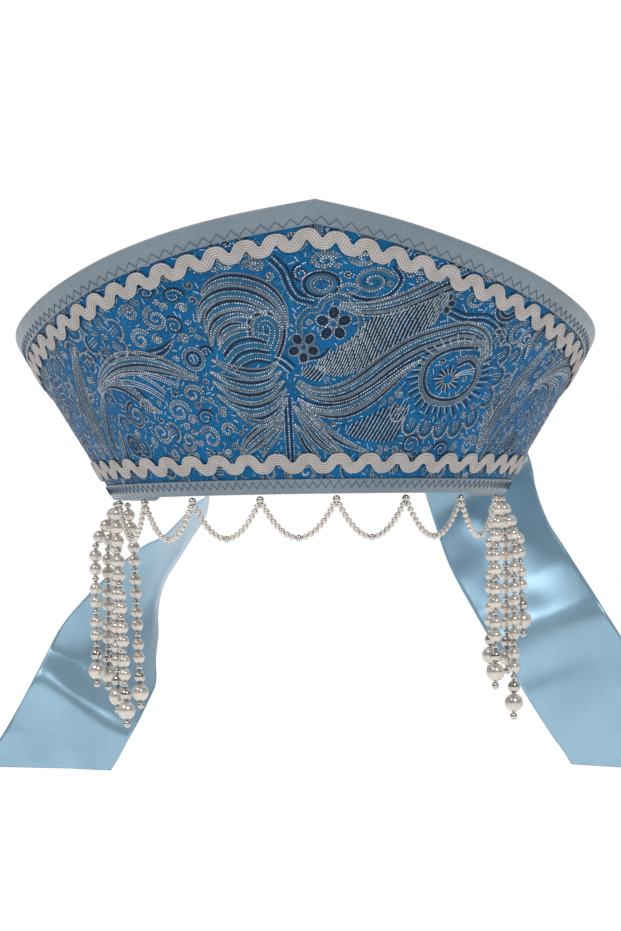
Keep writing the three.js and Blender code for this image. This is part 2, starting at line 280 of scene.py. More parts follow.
def apply_trees(piece: bpy.types.Object, steps: Sequence[tuple[NodeTree, dict[str, Any]]]) -> None:
    """Run geometry trees on a piece and keep the result as its plain mesh.

    Args:
        piece: The object to change.
        steps: Each tree, in order, with the values of its named inputs.
    """
    for tree, values in steps:
        modifier = piece.modifiers.new(tree.name, "NODES")
        modifier.node_group = tree
        for item in tree.interface.items_tree:
            if item.item_type == "SOCKET" and item.in_out == "INPUT" and item.name in values:
                modifier[item.identifier] = values[item.name]
    depsgraph = bpy.context.evaluated_depsgraph_get()
    shown = piece.evaluated_get(depsgraph)
    result = bpy.data.meshes.new_from_object(shown, preserve_all_data_layers=True, depsgraph=depsgraph)
    piece.modifiers.clear()
    piece.data = result
    outward(result)


def through_rows(rows: Sequence[tuple[float, float]], x: float) -> float:
    """Run a smooth curve through rows of x and y, with the rows' mean slopes.

    Args:
        rows: The x and the y of each row, in order of x.
        x: Where the curve is wanted.

    Returns:
        The curve's y there.
    """
    last = len(rows) - 1

    def slope(i: int) -> float:
        """Return the slope from row i to the next."""
        return (rows[i + 1][1] - rows[i][1]) / (rows[i + 1][0] - rows[i][0])

    def tangent(i: int) -> float:
        """Return the mean slope on both sides of row i."""
        return (slope(max(i - 1, 0)) + slope(min(i, last - 1))) / 2

    i = 0
    while i < last - 1 and x > rows[i + 1][0]:
        i += 1
    span = rows[i + 1][0] - rows[i][0]
    u = (x - rows[i][0]) / span
    return (
        rows[i][1] * (1 + 2 * u) * (1 - u) ** 2
        + rows[i + 1][1] * (3 - 2 * u) * u * u
        + span * tangent(i) * u * (1 - u) ** 2
        - span * tangent(i + 1) * (1 - u) * u * u
    )


def smoothstep(x: float, low: float, high: float) -> float:
    """Return 0 below low, 1 above high, and a smooth step between them."""
    u = min(max((x - low) / (high - low), 0.0), 1.0)
    return u * u * (3 - 2 * u)


def eased_line(points: Sequence[Vector], share: float) -> Vector:
    """Run a centripetal Catmull-Rom line through points.

    Args:
        points: The points, in order.
        share: The place along the line, from 0 to 1, each span counting the same.

    Returns:
        The line's point there.
    """
    last = len(points) - 1
    place = min(max(share, 0.0), 1.0) * last
    i = min(int(place), last - 1)
    u = place - i
    before = points[i - 1] if i > 0 else points[0] * 2 - points[1]
    after = points[i + 2] if i + 2 <= last else points[last] * 2 - points[last - 1]
    a, b = points[i], points[i + 1]
    steps = [max((q - p).length ** 0.5, TRACE) for p, q in ((before, a), (a, b), (b, after))]
    into = (a - before) / steps[0] - (b - before) / (steps[0] + steps[1]) + (b - a) / steps[1]
    out = (b - a) / steps[1] - (after - a) / (steps[1] + steps[2]) + (after - b) / steps[2]
    into, out = into * steps[1], out * steps[1]
    return (
        a
        + into * u
        + (a * -3 + b * 3 - into * 2 - out) * u * u
        + (a * 2 - b * 2 + into + out) * u**3
    )


# The band's shape, and the tree that wraps flat work round it


@dataclass(frozen=True)
class BandShape:
    """The flared crown as a surface, by the angle round from its front and the height.

    Attributes:
        half_width, half_depth: Half the rim's width and depth.
        side_rise, front_rise: How fast the sides and the front lean out as they rise.
        thickness: The stiff wall under the brocade.
        end: The angle of each back end, in degrees.
        gauge: The radius at middle height, which sets the length of a degree on the flat.
        peak: The angle and the height of the blunt tip.
        edge_rows: The angle, the left height and the right height of the upper edge.
    """

    half_width: float = 87.6 * MM
    half_depth: float = 94.8 * MM
    side_rise: float = math.tan(math.radians(31.3))
    front_rise: float = math.tan(math.radians(25))
    thickness: float = 2.5 * MM
    end: float = 122.0
    gauge: float = 123.5 * MM
    peak: tuple[float, float] = (3.5, 120.4)
    edge_rows: tuple[tuple[float, float, float], ...] = (
        (15, 112.0, 113.4),
        (30, 102.9, 102.9),
        (45, 92.6, 92.6),
        (60, 83.1, 83.1),
        (75, 75.4, 75.4),
        (90, 67.5, 67.5),
        (105, 60.0, 60.0),
        (122, 51.0, 51.0),
    )

    def upper_edge(self, angle: float) -> float:
        """Return the height of the bound upper edge at an angle in degrees."""
        side = -1 if angle < self.peak[0] else 1
        rows = [(side * self.peak[0], self.peak[1])]
        rows += [(row[0], row[1] if side < 0 else row[2]) for row in self.edge_rows]
        return through_rows(rows, side * angle) * MM

    def point(self, angle: float, height: float, proud: float = 0.0) -> Vector:
        """Find a point on or off the brocade's face.

        Args:
            angle: The angle round from the front, in degrees.
            height: The height over the rim.
            proud: How far the point stands off the face.

        Returns:
            Its place.
        """
        sin, cos = math.sin(math.radians(angle)), math.cos(math.radians(angle))
        width = self.half_width + height * self.side_rise
        depth = self.half_depth + height * self.front_rise
        lean = -(width * self.front_rise * cos * cos + depth * self.side_rise * sin * sin)
        off = Vector((depth * sin, -width * cos, lean)).normalized()
        return Vector((width * sin, -depth * cos, height)) + off * proud

    def along(self, angle: float) -> float:
        """Return the flat length from the front to an angle in degrees."""
        return math.radians(angle) * self.gauge

    def angle(self, along: float) -> float:
        """Return the angle in degrees at a flat length from the front."""
        return math.degrees(along / self.gauge)

    def wrap_values(self) -> dict[str, float]:
        """Return the sizes that the wrapping tree asks for."""
        return {
            "Half Width": self.half_width,
            "Half Depth": self.half_depth,
            "Side Rise": self.side_rise,
            "Front Rise": self.front_rise,
            "Gauge": self.gauge,
        }


def wrap_tree() -> NodeTree:
    """Build the tree that wraps flat work round the flared band."""
    sizes = ("Half Width", "Half Depth", "Side Rise", "Front Rise", "Gauge")
    nodes, given, result = shape_group("wrap_round_band", {name: (FLOAT, 0.1) for name in sizes})
    along, height, proud = nodes.separate(nodes.add("GeometryNodeInputPosition").outputs[0])[:3]
    turn = nodes.math("DIVIDE", along, given["Gauge"])
    sin, cos = nodes.math("SINE", turn), nodes.math("COSINE", turn)
    width = nodes.math("MULTIPLY_ADD", height, given["Side Rise"], given["Half Width"])
    depth = nodes.math("MULTIPLY_ADD", height, given["Front Rise"], given["Half Depth"])
    front_part = nodes.product(nodes.product(width, given["Front Rise"]), nodes.math("POWER", cos, 2.0))
    side_part = nodes.product(nodes.product(depth, given["Side Rise"]), nodes.product(sin, sin))
    lean = nodes.product(nodes.math("ADD", front_part, side_part), -1.0)
    back = nodes.product(nodes.product(width, cos), -1.0)
    off = nodes.vector_math("NORMALIZE", nodes.combine(nodes.product(depth, sin), back, lean))
    inward = nodes.product(nodes.product(depth, cos), -1.0)
    foot = nodes.combine(nodes.product(width, sin), inward, height)
    place = nodes.vector_math("ADD", foot, nodes.scaled(off, proud))
    moved = nodes.add("GeometryNodeSetPosition", {"Geometry": given["Geometry"], "Position": place})
    nodes.feed(result["Geometry"], moved.outputs[0])
    return nodes.tree


def sweep_tree() -> NodeTree:
    """Build the tree that runs an oval section along chains of edges."""
    sizes = {"Width": (FLOAT, MM), "Thickness": (FLOAT, MM), "Sides": (WHOLE, 6), "Material": MATERIAL}
    nodes, given, result = shape_group("sweep_along_lines", sizes)
    chain = nodes.add("GeometryNodeMeshToCurve", {0: given["Geometry"]}).outputs[0]
    upright = nodes.add("GeometryNodeSetCurveNormal", {0: chain})
    upright.mode = "Z_UP"
    sized = nodes.add("GeometryNodeSetCurveRadius", {0: upright.outputs[0], "Radius": nodes.named("share")})
    run = nodes.add("GeometryNodeSplineParameter").outputs["Length"]
    marked = nodes.store(sized.outputs[0], "run", run)
    circle = nodes.add("GeometryNodeCurvePrimitiveCircle", {"Resolution": given["Sides"], "Radius": 0.5})
    sideways = nodes.separate(nodes.add("GeometryNodeInputPosition").outputs[0])[0]
    across = nodes.store(circle.outputs[0], "across", sideways)
    size = nodes.combine(given["Width"], given["Thickness"], 1.0)
    oval = nodes.add("GeometryNodeTransform", {0: across, "Scale": size})
    swept = nodes.add("GeometryNodeCurveToMesh", {0: marked, 1: oval.outputs[0], "Fill Caps": True})
    nodes.feed(result["Geometry"], nodes.dressed(swept.outputs[0], given["Material"]))
    return nodes.tree


def bead_tree() -> NodeTree:
    """Build the tree that sets a round bead on every point, turned along the thread."""
    sizes = {"Sides": (WHOLE, 14), "Rows": (WHOLE, 8), "Material": MATERIAL}
    nodes, given, result = shape_group("beads_on_points", sizes)
    counts = {"Segments": given["Sides"], "Rings": given["Rows"]}
    sphere = nodes.add("GeometryNodeMeshUVSphere", {**counts, "Radius": 0.5}).outputs[0]
    along, size = nodes.named("along", "FLOAT_VECTOR"), nodes.named("size", "FLOAT_VECTOR")
    turn = nodes.add("FunctionNodeAlignRotationToVector", {"Vector": along}, axis="Z").outputs[0]
    places = {"Points": given["Geometry"], "Instance": sphere, "Rotation": turn, "Scale": size}
    placed = nodes.add("GeometryNodeInstanceOnPoints", places)
    nodes.feed(result["Geometry"], nodes.dressed(placed.outputs[0], given["Material"]))
    return nodes.tree


# Shading that several finishes share


def weave_group() -> NodeTree:
    """Build the weave: crossing threads, as a height and as a soft shade."""
    threads = {"Threads Along": (FLOAT, 2000.0), "Threads Across": (FLOAT, 2000.0)}
    nodes, given, result = new_group(
        "woven_threads",
        "ShaderNodeTree",
        {"Vector": PLACE, **threads, "Slant": (FLOAT, 0.5)},
        {"Height": FLOAT, "Shade": FLOAT},
    )
    x, y, _z = nodes.separate(given["Vector"])[:3]
    across = nodes.product(x, nodes.product(given["Threads Along"], math.tau))
    upward = nodes.product(y, nodes.product(given["Threads Across"], math.tau))
    slanted = nodes.math("MULTIPLY_ADD", upward, given["Slant"], across)
    crossing = nodes.math("ADD", nodes.math("SINE", slanted), nodes.math("SINE", upward))
    height = nodes.math("MULTIPLY_ADD", crossing, 0.25, 0.5)
    uneven = nodes.remap(nodes.noise(given["Vector"], 900.0, 2.0), 0.3, 0.7, 0.6, 1.0)
    nodes.feed(result["Height"], height)
    nodes.feed(result["Shade"], nodes.product(height, uneven))
    return nodes.tree


def drift_group() -> NodeTree:
    """Build the slow drift of a colour's lightness from place to place."""
    grey = ("NodeSocketColor", (0.5, 0.5, 0.5, 1))
    nodes, given, result = new_group(
        "tone_drift",
        "ShaderNodeTree",
        {"Color": grey, "Vector": PLACE, "Scale": (FLOAT, 40.0), "Amount": (FLOAT, 0.2)},
        {"Color": grey[0]},
    )
    mask = nodes.remap(nodes.noise(given["Vector"], given["Scale"], 4.0), 0.3, 0.7, -0.5, 0.5)
    value = nodes.math("MULTIPLY_ADD", mask, given["Amount"], 1.0)
    toned = nodes.add("ShaderNodeHueSaturation", {"Value": value, "Color": given["Color"]})
    nodes.feed(result["Color"], toned.outputs[0])
    return nodes.tree


@dataclass(frozen=True)
class SharedTrees:
    """The node trees that the pieces and finishes have in common."""

    wrap: NodeTree
    sweep: NodeTree
    beads: NodeTree
    weave: NodeTree
    drift: NodeTree

    @classmethod
    def build(cls) -> "SharedTrees":
        """Build every shared tree once."""
        return cls(wrap_tree(), sweep_tree(), bead_tree(), weave_group(), drift_group())


# Finishes


Colour = tuple[float, float, float, float]


def colour(red: int, green: int, blue: int) -> Colour:
    """Turn a screen colour into linear light.

    Args:
        red, green, blue: Its parts, from 0 to 255.

    Returns:
        The colour, opaque.
    """

    def linear(part: int) -> float:
        """Return one part as linear light."""
        share = part / 255
        return share / 12.92 if share <= 0.04045 else ((share + 0.055) / 1.055) ** 2.4

    return (linear(red), linear(green), linear(blue), 1.0)


class Surface(Nodes):
    """One finish's material while it is built, with the steps that all finishes take."""

    def __init__(self, name: str, trees: SharedTrees) -> None:
        """Start the material with an empty tree.

        Args:
            name: The material's name.
            trees: The shared trees.
        """
        self.material = bpy.data.materials.new(name)
        self.material.use_nodes = True
        self.material.node_tree.nodes.clear()
        self.trees = trees
        super().__init__(self.material.node_tree)

    def cloth_place(self) -> Socket:
        """Return the place on the flat cloth, in metres."""
        return self.add("ShaderNodeUVMap", uv_map="cloth").outputs[0]

    def object_place(self) -> Socket:
        """Return the place on the whole headdress."""
        return self.add("ShaderNodeTexCoord").outputs["Object"]

    def marked(self, name: str) -> Socket:
        """Return a number that the mesh holds at each point."""
        return self.add("ShaderNodeAttribute", attribute_name=name).outputs["Fac"]

    def group(self, tree: NodeTree, inputs: dict[str, Any]) -> bpy.types.Node:
        """Place a shared group with its own values."""
        node = self.add("ShaderNodeGroup", node_tree=tree)
        for label, value in inputs.items():
            self.feed(node.inputs[label], value)
        return node

    def weave(self, place: Socket, threads: Pair) -> tuple[Socket, Socket]:
        """Return the height and the shade of threads, so many for each metre along and across."""
        sizes = {"Vector": place, "Threads Along": threads[0], "Threads Across": threads[1]}
        node = self.group(self.trees.weave, sizes)
        return node.outputs["Height"], node.outputs["Shade"]

    def drifted(self, tone: Any, scale: float, amount: float) -> Socket:
        """Return a colour whose lightness drifts over patches of a scale."""
        sizes = {"Color": tone, "Vector": self.object_place(), "Scale": scale, "Amount": amount}
        return self.group(self.trees.drift, sizes).outputs["Color"]

    def bump(self, height: Any, distance: float, under: Socket | None = None) -> Socket:
        """Return the normal of a relief, on top of another one where there is one."""
        values = {"Height": height, "Distance": distance}
        if under is not None:
            values["Normal"] = under
        return self.add("ShaderNodeBump", values).outputs[0]

    def close(self, values: dict[str, Any]) -> bpy.types.Material:
        """Give the shader its values and return the material."""
        shader = self.add("ShaderNodeBsdfPrincipled", values)
        self.feed(self.add("ShaderNodeOutputMaterial").inputs[0], shader.outputs[0])
        return self.material


@dataclass(frozen=True)
class ClothFinish:
    """A woven cloth, tape or ribbon.

    Attributes:
        name: The material's name.
        base, shade: The colours of its raised threads and down between them.
        roughness: How dull it is.
        threads: Threads for each metre, along and across.
        relief: The bump's height in metres.
        drift: How far its lightness drifts.
        anisotropy: How far its gloss follows the threads.
        metallic: How metallic its threads are.
        pucker: The height of the small puckers across it, in metres.
        puckers: How close the puckers lie, along it and across.
    """

    name: str
    base: Colour
    shade: Colour
    roughness: float
    threads: Pair
    relief: float = 0.08 * MM
    drift: float = 0.15
    anisotropy: float = 0.0
    metallic: float = 0.0
    pucker: float = 0.0
    puckers: Pair = (420.0, 70.0)

    def build(self, trees: SharedTrees) -> bpy.types.Material:
        """Build the cloth's material.

        Args:
            trees: The shared trees.

        Returns:
            The material.
        """
        surface = Surface(self.name, trees)
        place = surface.cloth_place()
        height, shade = surface.weave(place, self.threads)
        normal = surface.bump(height, self.relief)
        if self.pucker:
            drawn = surface.vector_math("MULTIPLY", place, (*self.puckers, 1.0))
            normal = surface.bump(surface.noise(drawn, 1.0, 2.0), self.pucker, normal)
        return surface.close({
            "Base Color": surface.drifted(surface.mix(shade, self.shade, self.base), 40.0, self.drift),
            "Roughness": self.roughness,
            "Metallic": self.metallic,
            "Sheen Weight": 0.2,
            "Sheen Roughness": 0.4,
            "Anisotropic": self.anisotropy,
            "Normal": normal,
        })


@dataclass(frozen=True)
class BrocadeFinish:
    """The brocade's ground: close threads with fine specks of silver and navy.

    Attributes:
        name: The material's name.
        base, shade: The colours of its raised threads and down between them.
        silver, navy: The colours of the light and the dark specks.
        threads: Threads for each metre.
        patches, specks: How close the speckled patches and the specks lie.
    """

    name: str
    base: Colour
    shade: Colour
    silver: Colour
    navy: Colour
    threads: float = 1700.0
    patches: float = 75.0
    specks: float = 1100.0

    def build(self, trees: SharedTrees) -> bpy.types.Material:
        """Build the ground's material.

        Args:
            trees: The shared trees.

        Returns:
            The material.
        """
        surface = Surface(self.name, trees)
        place = surface.cloth_place()
        height, shade = surface.weave(place, (self.threads, self.threads))
        worked = surface.remap(surface.noise(place, self.patches, 1.0), 0.36, 0.56)
        cells = {"Vector": place, "Scale": self.specks * 0.6}
        cell = surface.add("ShaderNodeTexVoronoi", cells).outputs[0]
        line = surface.product(surface.remap(cell, 0.34, 0.2), worked)
        beside = surface.product(surface.remap(surface.noise(place, self.specks, 1.0), 0.54, 0.4), worked)
        ground = surface.mix(shade, self.shade, self.base)
        dark = surface.mix(surface.product(beside, 0.6), ground, self.navy)
        lined = surface.mix(surface.product(line, 0.5), dark, self.silver)
        return surface.close({
            "Base Color": surface.drifted(lined, 60.0, 0.25),
            "Roughness": 0.5,
            "Specular IOR Level": 0.12,
            "Normal": surface.bump(surface.math("ADD", height, line), 0.08 * MM),
        })


@dataclass(frozen=True)
class FigureFinish:
    """A thread of the brocade's figures or of a seam, in stitches along its run.

    Attributes:
        name: The material's name.
        base, shade: The colours of a stitch and between two stitches.
        pitch: The length of a stitch.
        sparkle: How far some stitches dim at random, so that the bright ones read as painted glints.
    """

    name: str
    base: Colour
    shade: Colour
    pitch: float
    sparkle: float = 0.7

    def build(self, trees: SharedTrees) -> bpy.types.Material:
        """Build the thread's material.

        Args:
            trees: The shared trees.

        Returns:
            The material.
        """
        surface = Surface(self.name, trees)
        wave = surface.math("SINE", surface.product(surface.marked("run"), math.tau / self.pitch))
        # Painted sparkle: noise dims some stitches, and the bright ones stand for glints of light.
        speck = surface.noise(surface.object_place(), 1300.0, 1.0)
        sparkling = surface.remap(speck, 0.34, 0.62, 1.0 - self.sparkle, 1.0)
        stitch = surface.product(surface.remap(wave, -0.7, 0.5), sparkling)
        return surface.close({
            "Base Color": surface.drifted(surface.mix(stitch, self.shade, self.base), 120.0, 0.35),
            "Roughness": 0.4,
            "Specular IOR Level": 0.25,
            "Normal": surface.bump(stitch, 0.1 * MM),
        })


@dataclass(frozen=True)
class BraidFinish:
    """The rickrack's plaited cotton: fine ribs along it, crossed by slanted stitches.

    Attributes:
        name: The material's name.
        base, shade: The colours of its raised ribs and between them.
        ribs: Ribs over its width.
        pitch: The length of a stitch.
    """

    name: str
    base: Colour
    shade: Colour
    ribs: float = 5.0
    pitch: float = 1.1 * MM

    def build(self, trees: SharedTrees) -> bpy.types.Material:
        """Build the braid's material.

        Args:
            trees: The shared trees.

        Returns:
            The material.
        """
        surface = Surface(self.name, trees)
        across = surface.marked("across")
        rib = surface.math("COSINE", surface.product(across, math.tau * self.ribs))
        run = surface.product(surface.marked("run"), math.tau / self.pitch)
        slant = surface.math("MULTIPLY_ADD", surface.math("ABSOLUTE", across), math.tau * 2.0, run)
        ribbed = surface.math("MULTIPLY_ADD", rib, 0.3, 0.5)
        height = surface.math("MULTIPLY_ADD", surface.math("SINE", slant), 0.08, ribbed)
        tone = surface.mix(surface.remap(height, 0.1, 0.75), self.shade, self.base)
        return surface.close({
            "Base Color": surface.drifted(tone, 150.0, 0.2),
            "Roughness": 0.75,
            "Specular IOR Level": 0.3,
            "Sheen Weight": 0.15,
            "Normal": surface.bump(height, 0.25 * MM),
        })


@dataclass(frozen=True)
class BeadFinish:
    """A pearl or a metal bead.

    Attributes:
        name: The material's name.
        base: Its colour.
        roughness: How dull it is.
        metallic: 1 for metal.
        coat: The clear layer over it.
        drift: How far its lightness drifts.
    """

    name: str
    base: Colour
    roughness: float
    metallic: float
    coat: float = 0.0
    drift: float = 0.1

    def build(self, trees: SharedTrees) -> bpy.types.Material:
        """Build the bead's material.

        Args:
            trees: The shared trees.

        Returns:
            The material.
        """
        surface = Surface(self.name, trees)
        return surface.close({
            "Base Color": surface.drifted(self.base, 170.0, self.drift),
            "Roughness": self.roughness,
            "Metallic": self.metallic,
            "Coat Weight": self.coat,
            "Coat Roughness": 0.12,
        })


class Finish(Enum):
    """Every finish of the headdress."""

    BROCADE = BrocadeFinish(
        "blue_brocade_ground",
        base=colour(0, 103, 158),
        shade=colour(0, 77, 124),
        silver=colour(76, 140, 164),
        navy=colour(0, 48, 82),
    )
    REVERSE = ClothFinish("brocade_reverse", colour(40, 92, 150), colour(18, 48, 92), 0.6, (1200, 1200))
    TAPE = ClothFinish(
        "blue_grey_satin_tape",
        colour(128, 142, 152),
        colour(96, 112, 124),
        roughness=0.36,
        threads=(900, 2600),
        pucker=0.7 * MM,
    )
    BRAID = BraidFinish("silver_grey_rickrack", colour(178, 173, 170), colour(132, 128, 127))
    RIBBON = ClothFinish(
        "pale_blue_satin_ribbon",
        colour(154, 184, 202),
        colour(128, 166, 188),
        roughness=0.29,
        threads=(400, 2400),
        relief=0.02 * MM,
        drift=0.14,
        anisotropy=0.5,
        metallic=0.42,
    )
    THREAD = FigureFinish("steel_blue_thread", colour(84, 104, 124), colour(52, 70, 92), 0.5 * MM, 0.2)
    SATIN_FIGURE = FigureFinish("teal_satin_figure", colour(24, 106, 142), colour(4, 76, 116), 0.7 * MM)
    # Navy thread: the brocade's own dark lines and hatch dashes, and painted shadow where it runs beside the
    # raised silver threads.
    SHADOW = FigureFinish("navy_line_and_shadow", colour(12, 40, 64), colour(6, 28, 52), 0.9 * MM)
    CORD = FigureFinish("grey_cord", colour(146, 156, 160), colour(42, 84, 112), 0.6 * MM)
    STITCH = FigureFinish("silver_stitch", colour(226, 232, 233), colour(18, 64, 98), 1.05 * MM, 0.85)
    DASH = FigureFinish("silver_dash", colour(222, 228, 230), colour(96, 128, 150), 0.5 * MM, 0.45)
    PEARL = BeadFinish("cream_pearl", colour(200, 193, 184), 0.25, 0.55, coat=0.9, drift=0.14)
    SILVER = BeadFinish("bright_silver_bead", colour(186, 182, 177), 0.12, 1.0)


@dataclass
class Workshop:
    """The shared trees and the built finishes.

    Attributes:
        trees: The shared node trees.
        made: The material of each finish that has been used.
    """

    trees: SharedTrees
    made: dict[Finish, bpy.types.Material] = field(default_factory=dict)

    def material(self, finish: Finish) -> bpy.types.Material:
        """Return the material of a finish, built at its first use."""
        if finish not in self.made:
            self.made[finish] = finish.value.build(self.trees)
        return self.made[finish]

    def lay(
        self, piece: bpy.types.Object, width: float, thickness: float, sides: int, finish: Finish,
        shape: BandShape | None = None,
    ) -> None:
        """Sweep a piece's lines with an oval section, and wrap them round the band if they lie flat.

        Args:
            piece: The piece, whose mesh holds the lines.
            width, thickness, sides: Those of the section.
            finish: The piece's finish.
            shape: The band's surface, for flat lines.
        """
        sizes = {"Width": width, "Thickness": thickness, "Sides": sides, "Material": self.material(finish)}
        wraps = [(self.trees.wrap, shape.wrap_values())] if shape else []
        apply_trees(piece, [(self.trees.sweep, sizes), *wraps])

    def keep(self, piece: bpy.types.Object, nodes: Sequence[str] = ()) -> None:
        """Tie a finished piece to the frame.

        Args:
            piece: The finished piece.
            nodes: The solids that the piece stands for.
        """
        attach(piece, "root")
        if nodes:
            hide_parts(*nodes)
        log.info("%s: %d faces", piece.name, len(piece.data.polygons))


# The crown: its band, the tapes that bind it and the braids along them


Heights = Callable[[float], float]


@dataclass
class Crown:
    """The brocade band with its two bias tapes.

    Attributes:
        shape: The band's surface.
        step, tape_step: The angle between two sections of the band and of a tape, in degrees.
        rows: Rows of points up the brocade.
        tape_thickness: The folded tape.
        tape_edge: How far in from its free edge the tape has its full thickness.
        edge_share: Its stand at that edge, as a share of the full one.
        fold_share, fold_steps: The round part of its fold, as a share of half the wall, and its steps.
        upper_depth, lower_depth: How far each tape comes over the brocade.
        lower_fold: The height of the lower fold.
        stitch_pitch, stitch_height: The length and the height of one zigzag of a tape's seam.
        stitch_inset: How far it keeps from the tape's free edge.
        thread, thread_lift: The seam thread's diameter, and its middle's stand as a share of that.
    """

    shape: BandShape
    step: float = 1.0
    tape_step: float = 0.5
    rows: int = 24
    tape_thickness: float = 0.8 * MM
    tape_edge: float = 0.5 * MM
    edge_share: float = 0.86
    fold_share: float = 0.55
    fold_steps: int = 8
    upper_depth: float = 9 * MM
    lower_depth: float = 6.6 * MM
    lower_fold: float = 0.5 * MM
    stitch_pitch: float = 5.0 * MM
    stitch_height: float = 3.0 * MM
    stitch_inset: float = 0.7 * MM
    thread: float = 0.34 * MM
    thread_lift: float = 0.3

    def angles(self, step: float) -> list[float]:
        """Return even angles from one back end to the other."""
        count = round(2 * self.shape.end / step)
        return [-self.shape.end + 2 * self.shape.end * i / count for i in range(count + 1)]

    def build_band(self, shop: Workshop) -> None:
        """Build the stiff wall with the brocade on its face and plain cloth behind.

        Args:
            shop: The trees and finishes.
        """
        rings, marks = [], []
        low = self.lower_fold + self.tape_thickness + SEAT_GAP
        for angle in self.angles(self.step):
            along = self.shape.along(angle)
            high = self.shape.upper_edge(angle) - self.tape_thickness - SEAT_GAP
            heights = [low + (high - low) * i / self.rows for i in range(self.rows + 1)]
            front = [Vector((along, height, 0)) for height in heights]
            back = [Vector((along, height, -self.shape.thickness)) for height in reversed(heights)]
            rings.append(front + back)
            marks.append([(along, point.y) for point in front + back])
        piece = new_piece("brocade_band", ring_mesh("brocade_band", rings, marks))
        piece.data.materials.append(shop.material(Finish.BROCADE))
        piece.data.materials.append(shop.material(Finish.REVERSE))
        size = 2 * (self.rows + 1)
        for i, face in enumerate(piece.data.polygons):
            face.material_index = 0 if i % size < self.rows or i >= size * (len(rings) - 1) else 1
        apply_trees(piece, [(shop.trees.wrap, self.shape.wrap_values())])
        shop.keep(piece, ["band"])

    def tape_section(self, along: float, fold: float, free: float) -> tuple[list[Vector], list[Pair]]:
        """Draw one section of folded tape: over the edge and back along its inner side.

        Args:
            along: The section's place along the flat band.
            fold: The height of the fold.
            free: The height of the free edges.

        Returns:
            The section's points, and the place of each on the flat cloth.
        """
        way = 1.0 if free < fold else -1.0
        near = SEAT_GAP * 0.5
        far = -self.shape.thickness - near
        middle, half = (near + far) / 2, (near - far) / 2
        outline = []
        for lift in (self.tape_thickness, 0.0):
            reach = half + lift
            crown = fold - way * (reach - lift) * self.fold_share
            side = [(free, middle + reach * (self.edge_share if lift else 1.0))]
            flat_heights = (free + way * self.tape_edge, (free + crown) / 2, crown)
            side += [(height, middle + reach) for height in flat_heights]
            rise = abs(fold - crown) - (0 if lift else self.tape_thickness)
            turns = [math.pi * i / self.fold_steps for i in range(1, self.fold_steps)]
            arc = [(crown + way * rise * math.sin(turn), middle + reach * math.cos(turn)) for turn in turns]
            row = side + arc + [(height, 2 * middle - proud) for height, proud in reversed(side)]
            outline += row if lift else row[::-1]
        points = [Vector((along, height, proud)) for height, proud in outline]
        marks = []
        walked = 0.0
        for i, point in enumerate(points):
            walked += (point - points[i - 1]).length if i else 0.0
            marks.append((along, walked))
        return points, marks

    def build_tape(self, shop: Workshop, name: str, fold_at: Heights, free_at: Heights) -> None:
        """Build a satin tape folded over one edge.

        Args:
            shop: The trees and finishes.
            name: The solid that the tape stands for.
            fold_at: The height of its fold, by angle.
            free_at: The height of its free edges, by angle.
        """
        rings, marks = [], []
        for angle in self.angles(self.tape_step):
            points, places = self.tape_section(self.shape.along(angle), fold_at(angle), free_at(angle))
            rings.append(points)
            marks.append(places)
        piece = new_piece(f"satin_{name}", ring_mesh(name, rings, marks))
        piece.data.materials.append(shop.material(Finish.TAPE))
        apply_trees(piece, [(shop.trees.wrap, self.shape.wrap_values())])
        shop.keep(piece, [name])

    def build_seam(self, shop: Workshop, name: str, free_at: Heights, inward: float) -> None:
        """Build the zigzag seam near a tape's free edge.

        Args:
            shop: The trees and finishes.
            name: The seam's name.
            free_at: The height of the tape's free edge, by angle.
            inward: 1 where the tape lies above that edge, and -1 where it lies below.
        """
        proud = SEAT_GAP * 0.5 + self.tape_thickness + self.thread * self.thread_lift
        end = self.shape.along(self.shape.end) - self.stitch_pitch
        count = int(2 * end / (self.stitch_pitch / 2))
        line = []
        for i in range(count + 1):
            along = -end + i * self.stitch_pitch / 2
            rise = self.stitch_inset + (self.stitch_height if i % 2 else 0.0)
            height = free_at(self.shape.angle(along)) + inward * rise
            line.append(Vector((along, height, proud)))
        piece = new_piece(name, line_mesh(name, [line]))
        shop.lay(piece, self.thread, self.thread, 6, Finish.THREAD, self.shape)
        shop.keep(piece)

    def build(self, shop: Workshop) -> None:
        """Build the band, both tapes and their seams.

        Args:
            shop: The trees and finishes.
        """

        def upper_free(angle: float) -> float:
            """Return the height of the upper tape's free edge."""
            return self.shape.upper_edge(angle) - self.upper_depth

        def lower_free(_angle: float) -> float:
            """Return the height of the lower tape's free edge."""
            return self.lower_fold + self.lower_depth

        self.build_band(shop)
        self.build_tape(shop, "top_trim", self.shape.upper_edge, upper_free)
        self.build_tape(shop, "bottom_trim", lambda _angle: self.lower_fold, lower_free)
        self.build_seam(shop, "upper_seam", upper_free, 1.0)
        self.build_seam(shop, "lower_seam", lower_free, -1.0)


